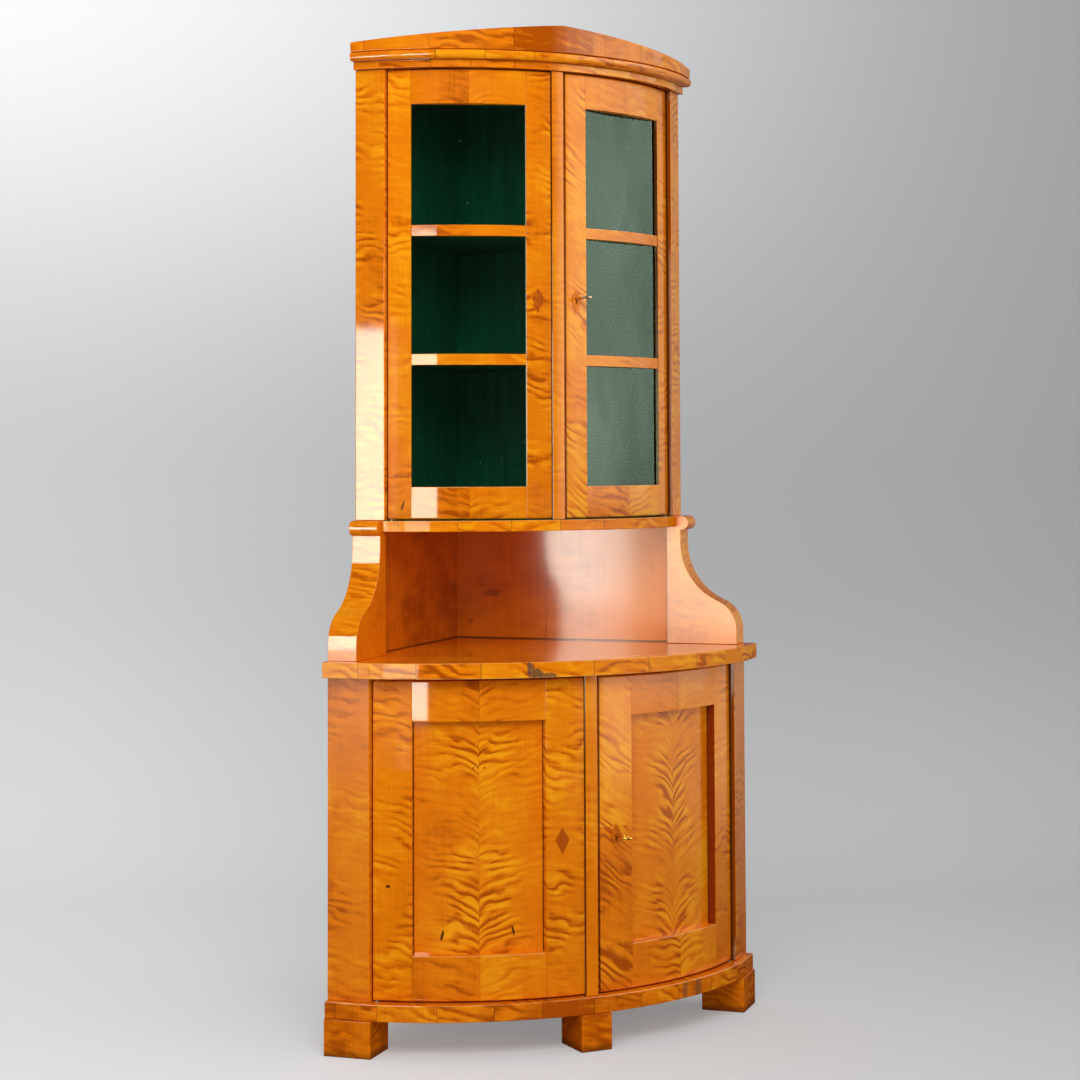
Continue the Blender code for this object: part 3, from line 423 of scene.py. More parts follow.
def bracket_map(side, shift):
    def flat(point, normal):
        wall = (side * point.x - point.y) / ROOT_2
        cant = (-side * point.x - point.y) / ROOT_2
        if abs(side * normal.x + normal.y) / ROOT_2 > 0.7:
            return wall + shift[0], point.z + shift[1]
        return cant + shift[0], point.z - wall + shift[1]
    return flat


def add_piece(name, mesh, finish, body, slot, *nodes):
    """Links a finished mesh as a piece that rides on a body and stands for CAD nodes."""
    mesh.materials.clear()
    mesh.materials.append(finish)
    for face in mesh.polygons:
        face.material_index = 0
        face.use_smooth = True
    piece = bpy.data.objects.new(name, mesh)
    bpy.context.scene.collection.objects.link(piece)
    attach(piece, body)
    if nodes:
        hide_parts(*nodes)
    return piece


# Shaders

def scaled(tint, share):
    return tuple(share * part for part in tint)


class Value:
    """A shader socket that can be added, multiplied and compared like a number."""

    def __init__(self, shade, socket):
        self.shade = shade
        self.socket = socket

    def math(self, operation, *others):
        return self.shade.calculate(operation, self, *others)

    def __add__(self, other):
        return self.math("ADD", other)

    def __radd__(self, other):
        return self.shade.calculate("ADD", other, self)

    def __sub__(self, other):
        return self.math("SUBTRACT", other)

    def __rsub__(self, other):
        return self.shade.calculate("SUBTRACT", other, self)

    def __mul__(self, other):
        return self.math("MULTIPLY", other)

    def __truediv__(self, other):
        return self.math("DIVIDE", other)

    def absolute(self):
        return self.math("ABSOLUTE")

    def floor(self):
        return self.math("FLOOR")

    def least(self, other):
        return self.math("MINIMUM", other)

    def most(self, other):
        return self.math("MAXIMUM", other)

    def step(self, low, high):
        """Smooth rise from 0 at low to 1 at high; it falls when low is above high."""
        node = self.shade.node("ShaderNodeMapRange", {"interpolation_type": "SMOOTHSTEP"},
                               {"Value": self, "From Min": low, "From Max": high})
        return Value(self.shade, node.outputs["Result"])


class Shade:
    """Builds one material's or world's node tree."""

    def __init__(self, owner):
        owner.use_nodes = True
        self.tree = owner.node_tree
        self.tree.nodes.clear()

    def node(self, kind, settings=None, inputs=None):
        made = self.tree.nodes.new(kind)
        for key, value in (settings or {}).items():
            setattr(made, key, value)
        for key, value in (inputs or {}).items():
            socket = made.inputs[key]
            if isinstance(value, Value):
                self.tree.links.new(value.socket, socket)
            elif isinstance(value, bpy.types.NodeSocket):
                self.tree.links.new(value, socket)
            elif socket.type == "RGBA" and len(value) == 3:
                socket.default_value = (*value, 1.0)
            else:
                socket.default_value = value
        return made

    def calculate(self, operation, *values):
        made = self.node("ShaderNodeMath", {"operation": operation}, dict(enumerate(values)))
        return Value(self, made.outputs[0])

    def vector(self, x, y, z=0.0):
        return self.node("ShaderNodeCombineXYZ", None, {"X": x, "Y": y, "Z": z}).outputs[0]

    def noise(self, x, y, z=0.0, detail=2.0, roughness=0.5):
        made = self.node("ShaderNodeTexNoise", {"noise_dimensions": "3D"},
                         {"Vector": self.vector(x, y, z), "Scale": 1.0, "Detail": detail,
                          "Roughness": roughness})
        return Value(self, made.outputs[0])

    def random(self, value):
        made = self.node("ShaderNodeTexWhiteNoise", {"noise_dimensions": "1D"}, {"W": value})
        return Value(self, made.outputs["Value"])

    def grain(self):
        """Across and along the grain, in metres, from the piece's UV map."""
        made = self.node("ShaderNodeUVMap", {"uv_map": "grain"})
        split = self.node("ShaderNodeSeparateXYZ", None, {"Vector": made.outputs[0]})
        return Value(self, split.outputs[0]), Value(self, split.outputs[1])

    def place(self):
        """X, Y and Z in the row frame, in metres."""
        made = self.node("ShaderNodeTexCoord")
        split = self.node("ShaderNodeSeparateXYZ", None, {"Vector": made.outputs["Object"]})
        return [Value(self, output) for output in split.outputs]

    def mix(self, factor, first, second):
        made = self.node("ShaderNodeMix", {"data_type": "RGBA"})
        for index, value in ((0, factor), (6, first), (7, second)):
            socket = made.inputs[index]
            if isinstance(value, Value):
                self.tree.links.new(value.socket, socket)
            elif isinstance(value, bpy.types.NodeSocket):
                self.tree.links.new(value, socket)
            elif index:
                socket.default_value = (*value, 1.0)
            else:
                socket.default_value = value
        return made.outputs[2]

    def bump(self, height, strength, distance):
        return self.node("ShaderNodeBump", None, {"Height": height, "Strength": strength,
                                                  "Distance": distance}).outputs[0]

    def surface(self, inputs):
        shader = self.node("ShaderNodeBsdfPrincipled", None, inputs)
        self.output(shader.outputs[0])

    def output(self, socket, kind="ShaderNodeOutputMaterial"):
        self.node(kind, None, {"Surface": socket})


def birch(name, finish, shift=0.0, mirror=False, piece=0.0, slope=0.3, figure=1.0, tone=0.0,
          gloss=1.0, blur=0.06, marks=(), bottom_darkening=None, stains=(), halves=0.0, breaks=(),
          shade_bands=(), shade_colour=None, gap_shade_lines=(), paler_beyond=(), worn=()):
    """Polished figured birch: flames across the grain, fine grain along it, pores and joints.

    mirror lays two leaves against each other at across = 0, whose flames dip at the joint; halves
    is how much the two leaves differ; piece is the width of the short veneers along an edge;
    breaks are heights where a new veneer begins; marks are dark spots, knots and cracks and the
    painted shade inside keyholes, and stains brown ones, as (across, along, half width, half height,
    lean or strength). shade_bands are painted shade that darkens all beyond a place, as (clear,
    full), in shade_colour; gap_shade_lines are painted shade lines in narrow upright gaps, as (middle,
    half width); paler_beyond pales the wood beyond a place; worn are the heights of pale
    edges, painted highlights on the arrises and partly wear; bottom_darkening darkens the wood towards
    the bottom, as (low, high).
    """
    material = bpy.data.materials.new(name)
    shade = Shade(material)
    across, along = shade.grain()
    start = shift + finish.seed * 1.7
    warp = shade.noise(across * 9.0, along * 9.0, start, detail=2.0)
    u, v, lift, joint = across, along, tone, None
    if piece:
        place = across / piece + (shade.noise(across / piece * 0.7, start) - 0.5) * 0.8
        index = place.floor()
        chance = shade.random(index + start)
        u = across + chance * 9.0
        v = along + chance * 5.0
        lift = (chance - 0.5) * 0.36 + tone
        joint = ((place - index - 0.5).absolute() * piece).step(piece * 0.5 - 0.0009, piece * 0.5 - 0.0002)
    for height in breaks:
        above = along.step(height - 0.0004, height + 0.0004)
        v = v + above * 7.3
        lift = (above - 0.5) * 0.20 + lift
    near = 0.0
    if mirror:
        right_leaf = across.step(-0.0002, 0.0002)
        distance = across.absolute()
        joint = distance.step(0.0009, 0.0002) * 0.30
        near = distance.step(0.125, 0.012)
        lift = (right_leaf - 0.5) * halves + lift
        u = distance
        dip = distance / (distance + 0.022) * 0.036 + distance * 0.16
        v = along - dip * slope + right_leaf * (halves * 9.0)
    else:
        v = v + u * (slope * 0.4)
    u = u + start
    streaks = shade.noise(u * 15.0, v * 110.0 + warp * 2.6, start, detail=3.0, roughness=0.6)
    bend = shade.noise(u * 9.0, v * 13.0, start + 6.0, detail=2.0)
    phase = v * 44.0 + (bend - 0.5) * 4.4
    ramp = phase - phase.floor()
    rib = ramp.step(0.0, 0.55) - ramp.step(0.72, 1.0)
    curl = shade.noise(u * 38.0, v * 120.0, start + 3.0, detail=2.0)
    clumps = shade.noise(u * 11.0, along * 9.0, start + 4.0, detail=2.0).step(0.42, 0.62)
    where = clumps * (near * 0.75 + 0.25) + near * 0.25 if mirror else clumps * 0.85 + 0.08
    grain = shade.noise(u * 340.0, v * 9.0, start, detail=3.0, roughness=0.6)
    patch = shade.noise(across * 6.0 + start, along * 4.5, start + 9.0, detail=3.0, roughness=0.6)
    fleck = shade.noise(u * 900.0, v * 130.0, start, detail=1.0).step(0.68, 0.78)
    value = ((rib - 0.62) * where * (0.62 * figure) + (streaks - 0.5) * (where * 1.1 + 0.35) * figure
             + (grain - 0.5) * 0.36 + (patch - 0.5) * 1.15 + (curl - 0.5) * 0.26
             + lift + 0.55 - fleck * 0.14)
    colour_low = shade.mix(value.step(0.05, 0.55), finish.dark, finish.middle)
    wood = shade.mix(value.step(0.48, 1.02), colour_low, finish.light)
    # Marks are knots and cracks, and the painted shade inside keyholes.
    spots = None
    for mark_across, mark_along, half_width, half_height, lean in marks:
        dx = (across - mark_across - (along - mark_along) * lean) / half_width
        dy = (along - mark_along) / half_height
        ring = (dx * dx + dy * dy + (warp - 0.5) * 1.2).step(1.0, 0.25)
        spots = ring if spots is None else spots.most(ring)
    if spots is not None:
        wood = shade.mix(spots * 0.95, wood, scaled(finish.joint, 0.3))
    for mark_across, mark_along, half_width, half_height, strength in stains:
        dx = (across - mark_across) / half_width
        dy = (along - mark_along) / half_height
        ragged = shade.noise(across * 150.0, along * 190.0, start, detail=2.0)
        ring = (dx * dx + dy * dy + (ragged - 0.5) * 2.4).step(0.9, 0.6)
        wood = shade.mix(ring * strength, wood, finish.ground)
    # Darker towards the bottom, fading out at the upper of the two heights.
    if bottom_darkening is not None:
        low, high = bottom_darkening
        low_darkness = (along + (patch - 0.5) * 0.03).step(high, low)
        wood = shade.mix(low_darkness * 0.75, wood, finish.joint)
    # Painted shade: these darken faces that lie in shade, such as a recess's side, a stile's side beside a
    # door or a panel's edges in the frame.
    for clear, dark in shade_bands:
        line = (across.absolute() if mirror else across).step(clear, dark)
        wood = shade.mix(line * 0.94, wood, shade_colour or scaled(finish.joint, 0.45))
    # Painted shade lines in the narrow gaps beside the doors.
    for middle, half_width in gap_shade_lines:
        line = (across - middle).absolute().step(half_width, half_width * 0.5)
        wood = shade.mix(line * 0.9, wood, scaled(finish.joint, 0.45))
    # Paler beyond a place, mixed towards the chip colour where the noise allows.
    for clear, full in paler_beyond:
        wood = shade.mix(across.step(clear, full) * curl.step(0.30, 0.55), wood, finish.chip)
    # Pale lines along edges: painted highlights on the arrises, partly wear.
    for edge in worn:
        line = (along - edge).absolute().step(0.0026, 0.0008) * (curl.step(0.35, 0.62) * 0.7 + 0.3)
        wood = shade.mix(line * 0.55, wood, finish.worn)
    ripple = shade.noise(u * 22.0, v * 16.0, start + 2.0, detail=1.0)
    height = grain * 0.10 + curl * 0.04 + ripple * 1.2
    rough = 0.36 - (value - 0.5) * 0.08 + (1.0 - gloss) * 0.2
    if joint is not None:
        wood = shade.mix(joint * 0.8, wood, finish.joint)
        height = height - joint * 0.9
        rough = rough + joint * 0.3
    shade.surface({"Base Color": wood, "Roughness": rough, "Specular IOR Level": 0.0,
                   "Coat Weight": 0.85 * gloss, "Coat Roughness": blur, "Coat IOR": 1.5,
                   "Normal": shade.bump(height, 0.20, 0.0010)})
    return material


def plain_birch(name, finish, paint_from=None, tone=0.0, rise=0.0, gloss=0.85, foot=None,
                knots=(), blisters=(), joints=()):
    """Backs and hidden boards: duller, browner wood, painted dark green above a height.

    rise is how much lighter the wood is painted along the right-hand wall, per metre, as a painted
    sheen, and how much duller its varnish gets there; foot is the height of a painted shade line
    where the board meets another; knots are brown spots and blisters raised ones, as (wall distance,
    height, half width, half height); joints are upright joint lines, as wall distances on the
    right-hand side.
    """
    material = bpy.data.materials.new(name)
    shade = Shade(material)
    x, y, z = shade.place()
    across = (x - y) * (1.0 / ROOT_2)
    side = (x + y) * (1.0 / ROOT_2)
    wall = across + BACK_Y / ROOT_2
    grain = shade.noise((across + side * 0.3) * 120.0, z * 6.0, side * 120.0, detail=3.0, roughness=0.6)
    patch = shade.noise(across * 6.0, z * 8.0, side * 6.0, detail=3.0)
    cloud = shade.noise(across * 14.0, z * 30.0, side * 14.0, detail=3.0, roughness=0.6)
    value = (grain - 0.5) * 0.5 + (patch - 0.5) * 1.0 + (cloud - 0.5) * 0.7 + 0.5 + tone
    # Painted sheen: the wood is painted lighter along the right-hand wall, and its varnish is duller there.
    if rise:
        value = value + (wall - 0.25).most(0.0) * rise
        gloss = gloss - (wall - 0.36).most(0.0) * (rise * 2.6)
    brown = scaled(finish.dark, 0.78)
    wood = shade.mix(value.step(0.1, 0.9), brown, scaled(finish.middle, 0.92))
    rough = 0.30 + (patch - 0.5) * 0.10
    height = cloud * 1.2 + patch * 3.0 + grain * 0.2
    for middle, level, half_width, half_height in knots:
        dx, dz = (wall - middle) / half_width, (z - level) / half_height
        ring = (dx * dx + dz * dz + (cloud - 0.5) * 3.0).step(1.1, 0.1)
        wood = shade.mix(ring * 0.6, wood, scaled(finish.dark, 0.35))
    for middle, level, half_width, half_height in blisters:
        dx, dz = (wall - middle) / half_width, (z - level) / half_height
        height = height + (dx * dx + dz * dz).step(1.0, 0.0) * 2.5
    for middle in joints:
        seam = (wall - middle).absolute().step(0.0014, 0.0005)
        wood = shade.mix(seam * 0.55, wood, finish.joint)
    # Painted shade line where the board meets another.
    if foot is not None:
        wood = shade.mix((z - foot).step(0.0036, 0.0014) * 0.9, wood, scaled(finish.joint, 0.4))
    if paint_from is not None:
        brush = shade.noise(across * 60.0, z * 5.0, side * 60.0, detail=3.0)
        chips = shade.noise(x * 90.0, y * 90.0, z * 90.0, detail=2.0).step(0.73, 0.76)
        green = shade.mix(brush.step(0.3, 0.8), finish.paint, scaled(finish.paint, 1.5))
        green = shade.mix(chips * 0.7, green, finish.chip)
        above = z.step(paint_from - 0.0005, paint_from + 0.0005)
        wood = shade.mix(above, wood, green)
        rough = rough + above * 0.14
    shade.surface({"Base Color": wood, "Roughness": rough, "Specular IOR Level": 0.05,
                   "Coat Weight": gloss, "Coat Roughness": 0.11,
                   "Normal": shade.bump(height, 0.35, 0.0012)})
    return material


def painted_shelf(finish):
    """Dark green paint, chipped to the white ground along the front edge."""
    material = bpy.data.materials.new("painted_shelf")
    shade = Shade(material)
    across, along = shade.grain()
    brush = shade.noise(across * 10.0, along * 160.0, 0.0, detail=3.0)
    worn = shade.noise(across * 50.0, along * 240.0, 3.0, detail=4.0, roughness=0.7)
    edge = along.absolute().step(0.0105, 0.007)
    chips = (worn + edge * 0.17).step(0.70, 0.72) * edge
    green = shade.mix(brush.step(0.3, 0.8), finish.paint, scaled(finish.paint, 1.7))
    shade.surface({"Base Color": shade.mix(chips, green, finish.chip), "Roughness": 0.42,
                   "Normal": shade.bump(brush * 0.4 - chips, 0.3, 0.0006)})
    return material


def window_glass():
    """Thin clear sheet: sees straight through and mirrors by the angle of view."""
    material = bpy.data.materials.new("window_glass")
    shade = Shade(material)
    x, y, z = shade.place()
    wave = shade.noise(x * 11.0, y * 11.0, z * 7.0, detail=1.0)
    normal = shade.bump(wave, 0.12, 0.003)
    clear = shade.node("ShaderNodeBsdfTransparent", None, {"Color": (0.90, 0.95, 0.92)})
    mirror = shade.node("ShaderNodeBsdfAnisotropic", {"distribution": "GGX"},
                        {"Color": (0.66, 0.99, 0.99), "Roughness": 0.03, "Normal": normal})
    fresnel = shade.node("ShaderNodeFresnel", None, {"IOR": 1.52, "Normal": normal})
    edge_on = Value(shade, fresnel.outputs[0])
    both = shade.node("ShaderNodeMixShader", None, {0: (edge_on * 1.15).least(1.0)})
    shade.tree.links.new(clear.outputs[0], both.inputs[1])
    shade.tree.links.new(mirror.outputs[0], both.inputs[2])
    shade.output(both.outputs[0])
    return material


def metal(name, colour_value, roughness, stain):
    material = bpy.data.materials.new(name)
    shade = Shade(material)
    x, y, z = shade.place()
    tarnish = shade.noise(x * 160.0, y * 160.0, z * 160.0, detail=3.0)
    dull = scaled(colour_value, stain)
    shade.surface({"Base Color": shade.mix(tarnish.step(0.45, 0.75), colour_value, dull),
                   "Metallic": 1.0, "Roughness": tarnish * 0.3 + roughness - 0.1})
    return material


# Geometry node trees

class Tree:
    """Builds one geometry node tree with named inputs."""

    def __init__(self, name, inputs):
        self.group = bpy.data.node_groups.new(name, "GeometryNodeTree")
        face = self.group.interface
        face.new_socket("Geometry", in_out="INPUT", socket_type="NodeSocketGeometry")
        face.new_socket("Geometry", in_out="OUTPUT", socket_type="NodeSocketGeometry")
        self.identifiers = {}
        for label, kind in inputs.items():
            self.identifiers[label] = face.new_socket(label, in_out="INPUT", socket_type=kind).identifier
        self.entry = self.group.nodes.new("NodeGroupInput")

    def node(self, kind, settings=None, inputs=None):
        made = self.group.nodes.new(kind)
        for key, value in (settings or {}).items():
            setattr(made, key, value)
        for key, value in (inputs or {}).items():
            if isinstance(value, bpy.types.NodeSocket):
                self.group.links.new(value, made.inputs[key])
            else:
                made.inputs[key].default_value = value
        return made

    def input(self, label):
        return self.entry.outputs[label]

    def math(self, operation, *values):
        made = self.node("ShaderNodeMath", {"operation": operation}, dict(enumerate(values)))
        return made.outputs[0]

    def product(self, first, second):
        return self.math("MULTIPLY", first, second)

    def finish(self, geometry):
        """Ends the tree with Realize Instances and Set Material."""
        real = self.node("GeometryNodeRealizeInstances", None, {"Geometry": geometry})
        dressed = self.node("GeometryNodeSetMaterial", None,
                            {"Geometry": real.outputs[0], "Material": self.input("Material")})
        self.node("NodeGroupOutput", None, {"Geometry": dressed.outputs[0]})

    def modifier(self, values):
        """Modifier settings for baked(), each value under its socket's identifier."""
        settings = {"node_group": self.group}
        settings.update({(self.identifiers[label],): value for label, value in values.items()})
        return ("NODES", settings)


def bent_board_tree():
    """Board of constant section bent along an arc round the middle line."""
    tree = Tree("cabinet_bent_board", {
        "Radius": "NodeSocketFloat", "Depth": "NodeSocketFloat", "Bottom": "NodeSocketFloat",
        "Top": "NodeSocketFloat", "Start": "NodeSocketFloat", "End": "NodeSocketFloat",
        "Steps": "NodeSocketInt", "Middle": "NodeSocketVector", "Material": "NodeSocketMaterial"})

    def difference(first, second):
        return tree.math("SUBTRACT", tree.input(first), tree.input(second))

    def middle(first, second):
        return tree.product(tree.math("ADD", tree.input(first), tree.input(second)), 0.5)

    size = tree.node("ShaderNodeCombineXYZ", None, {0: difference("End", "Start"), 1: tree.input("Depth"),
                                                    2: difference("Top", "Bottom")})
    block = tree.node("GeometryNodeMeshCube", None,
                      {"Size": size.outputs[0], "Vertices X": tree.input("Steps")})
    place = tree.node("ShaderNodeSeparateXYZ", None,
                      {0: tree.node("GeometryNodeInputPosition").outputs[0]})
    angle = tree.math("ADD", place.outputs[0], middle("Start", "End"))
    half_depth = tree.product(tree.input("Depth"), 0.5)
    inwards = tree.math("ADD", place.outputs[1], half_depth)
    radius = tree.math("SUBTRACT", tree.input("Radius"), inwards)
    rise = tree.math("ADD", place.outputs[2], middle("Top", "Bottom"))
    back = tree.product(tree.product(radius, tree.math("COSINE", angle)), -1.0)
    bent = tree.node("ShaderNodeCombineXYZ", None,
                     {0: tree.product(radius, tree.math("SINE", angle)), 1: back, 2: rise})
    centred = tree.node("ShaderNodeVectorMath", {"operation": "ADD"},
                        {0: bent.outputs[0], 1: tree.input("Middle")})
    moved = tree.node("GeometryNodeSetPosition", None,
                      {"Geometry": block.outputs[0], "Position": centred.outputs[0]})
    tree.finish(moved.outputs[0])
    return tree


def moulding_tree():
    """Round moulding swept along the edge path that the modifier is given."""
    tree = Tree("cabinet_moulding", {"Radius": "NodeSocketFloat", "Steps": "NodeSocketInt",
                                     "Material": "NodeSocketMaterial"})
    path = tree.node("GeometryNodeMeshToCurve", None, {"Mesh": tree.input("Geometry")})
    ring = tree.node("GeometryNodeCurvePrimitiveCircle", {"mode": "RADIUS"},
                     {"Resolution": tree.input("Steps"), "Radius": tree.input("Radius")})
    swept = tree.node("GeometryNodeCurveToMesh", None,
                      {"Curve": path.outputs[0], "Profile Curve": ring.outputs[0], "Fill Caps": True})
    tree.finish(swept.outputs[0])
    return tree


def inlay_tree():
    """Kite-shaped inlay set on each point, turned by the point's facing angle."""
    tree = Tree("cabinet_inlay", {"Width": "NodeSocketFloat", "Height": "NodeSocketFloat",
                                  "Widest": "NodeSocketFloat", "Depth": "NodeSocketFloat",
                                  "Material": "NodeSocketMaterial"})

    line = tree.node("GeometryNodeMeshCircle", {"fill_type": "NGON"}, {"Vertices": 4, "Radius": 1.0})
    place = tree.node("ShaderNodeSeparateXYZ", None,
                      {0: tree.node("GeometryNodeInputPosition").outputs[0]})
    up = tree.math("MAXIMUM", place.outputs[1], 0.0)
    down = tree.math("MINIMUM", place.outputs[1], 0.0)
    rest = tree.math("SUBTRACT", 1.0, tree.input("Widest"))
    above = tree.product(tree.product(up, tree.input("Widest")), tree.input("Height"))
    below = tree.product(tree.product(down, rest), tree.input("Height"))
    rise = tree.math("ADD", above, below)
    sideways = tree.product(tree.product(place.outputs[0], 0.5), tree.input("Width"))
    shaped = tree.node("GeometryNodeSetPosition", None, {
        "Geometry": line.outputs[0],
        "Position": tree.node("ShaderNodeCombineXYZ", None, {0: sideways, 2: rise}).outputs[0]})
    solid = tree.node("GeometryNodeExtrudeMesh", {"mode": "FACES"},
                      {"Mesh": shaped.outputs[0], "Offset": (0.0, 1.0, 0.0),
                       "Offset Scale": tree.input("Depth"), "Individual": False})
    whole = tree.node("GeometryNodeJoinGeometry")
    flipped = tree.node("GeometryNodeFlipFaces", None, {"Mesh": shaped.outputs[0]})
    tree.group.links.new(solid.outputs[0], whole.inputs[0])
    tree.group.links.new(flipped.outputs[0], whole.inputs[0])
    turn = tree.node("GeometryNodeInputNamedAttribute", {"data_type": "FLOAT"}, {"Name": "facing"})
    rotation = tree.node("ShaderNodeCombineXYZ", None, {2: turn.outputs[0]})
    set_on = tree.node("GeometryNodeInstanceOnPoints", None,
                       {"Points": tree.input("Geometry"), "Instance": whole.outputs[0],
                        "Rotation": rotation.outputs[0]})
    tree.finish(set_on.outputs[0])
    return tree


# Pieces

def by_facing(face):
    """0 for an edge, 1 for a face that looks up, 2 for one that looks down."""
    return 0 if abs(face.normal.z) < 0.75 else (1 if face.normal.z > 0.0 else 2)


def dress(piece, finishes, choose):
    """Gives a piece several finishes, chosen for each face."""
    piece.data.materials.clear()
    for finish in finishes:
        piece.data.materials.append(finish)
    for face in piece.data.polygons:
        face.material_index = choose(face)


def make_feet(s):
    levels, boards = s.levels, s.boards
    top = levels.base - boards.gap
    front = s.lower.sizes.wall + levels.foot_overhang
    # The feet are darker towards the bottom, within 22 mm of the floor.
    low_darkness = (0.0, 0.022)
    wood = birch("birch_feet", s.finish, shift=21.0, tone=-0.16, figure=0.5, gloss=0.8, bottom_darkening=low_darkness)
    corners = [(front - boards.foot_depth, 0.0), (front, 0.0), (front, boards.foot_width),
               (front - boards.foot_depth, boards.foot_width)]
    dim = birch("birch_centre_foot", s.finish, shift=23.0, tone=-0.34, figure=0.5, gloss=0.5, bottom_darkening=low_darkness)
    for side, name in SIDES:
        outline = [from_wall(wall, cant, side) for wall, cant in corners]
        mesh = baked(name, to_mesh(prism(outline, 0.0, top), name), [arris(0.0012)])
        unwrap(mesh, wall_map(side, (0.4 * side, 0.0)))
        add_piece("veneered_foot_" + name, mesh, wood, "cabinet", "birch", "foot_front_" + name)
    half = boards.centre_foot_width / 2.0
    face = -(s.lower.reach + levels.foot_overhang)
    back = face + boards.centre_foot_depth
    outline = [(-half, face), (half, face), (half, back), (-half, back)]
    mesh = baked("centre", to_mesh(prism(outline, 0.0, top), "centre"), [arris(0.0012)])
    unwrap(mesh, lambda point, normal: (point.x if abs(normal.x) < 0.5 else point.y, point.z))
    add_piece("veneered_foot_centre", mesh, dim, "cabinet", "birch", "foot_front_centre")


def board_map(plan, radius):
    bow = bow_map(plan.front, radius)

    def flat(point, normal):
        return (point.y, point.x) if abs(normal.z) > 0.75 else bow(point, normal)
    return flat


def make_board(s, name, node, plan, overhang, low, high, edge, face):
    shape = prism(plan.outline(overhang), low, high - s.boards.gap)
    mesh = baked(name, to_mesh(shape, name), [arris(0.0018, 3)])
    unwrap(mesh, board_map(plan, plan.front.radius + overhang))
    piece = add_piece(name, mesh, edge, "cabinet", "birch", node)
    dress(piece, [edge, face, face], by_facing)


def make_boards(s):
    levels = s.levels
    face = birch("birch_table", s.finish, shift=33.0, tone=-0.06, figure=0.6,
                 marks=((-0.30, 0.055, 0.004, 0.012, 0.0), (-0.36, 0.19, 0.003, 0.009, 0.0)))
    # The boards' edges take pale lines along their arrises: painted highlights, partly wear.
    base_edge = birch("birch_base_edge", s.finish, shift=35.0, piece=0.115, figure=0.9, tone=-0.16,
                      worn=(levels.floor,),
                      stains=((0.243, 0.094, 0.009, 0.024, 0.6), (0.287, 0.094, 0.013, 0.024, 0.6)))
    table_edge = birch("birch_table_edge", s.finish, shift=37.0, piece=0.13, figure=1.2, gloss=0.32,
                       worn=(levels.table, levels.table_underside),
                       stains=((-0.153, 0.806, 0.007, 0.018, 0.9), (-0.140, 0.797, 0.018, 0.012, 0.9),
                               (-0.117, 0.791, 0.026, 0.007, 0.85)))
    make_board(s, "veneered_base_board", "base_board", s.lower, levels.base_overhang, levels.base,
               levels.floor, base_edge, face)
    make_board(s, "veneered_table_top", "table_top", s.lower, levels.table_overhang,
               levels.table_underside, levels.table, table_edge, face)
    sizes, boards = s.upper.sizes, s.boards
    rear = sizes.wall - boards.stile - boards.gap
    cheek = boards.bracket + boards.gap
    inner = boards.back + boards.gap
    radius = s.upper.front.radius + levels.upper_bottom_overhang
    angle = s.upper.front.at_cant(cheek, radius)
    right = [from_wall(inner, inner, 1), from_wall(rear, inner, 1), from_wall(rear, cheek, 1)]
    left = [from_wall(rear, cheek, -1), from_wall(rear, inner, -1)]
    outline = right + s.upper.front.sweep(radius, angle, -angle) + left
    # Pale line along the top arris: a painted highlight, partly wear.
    edge = birch("birch_floor_edge", s.finish, shift=39.0, piece=0.12, gloss=0.35,
                 worn=(levels.upper_floor,))
    shape = prism(outline, levels.upper_bottom, levels.upper_floor - boards.gap)
    mesh = baked("upper_bottom", to_mesh(shape, "upper_bottom"), [arris(0.0018, 3)])
    unwrap(mesh, board_map(s.upper, radius))
    piece = add_piece("veneered_upper_bottom", mesh, edge, "cabinet", "birch", "upper_bottom")
    dress(piece, [edge, plain_birch("painted_floor", s.finish, 0.0), face], by_facing)


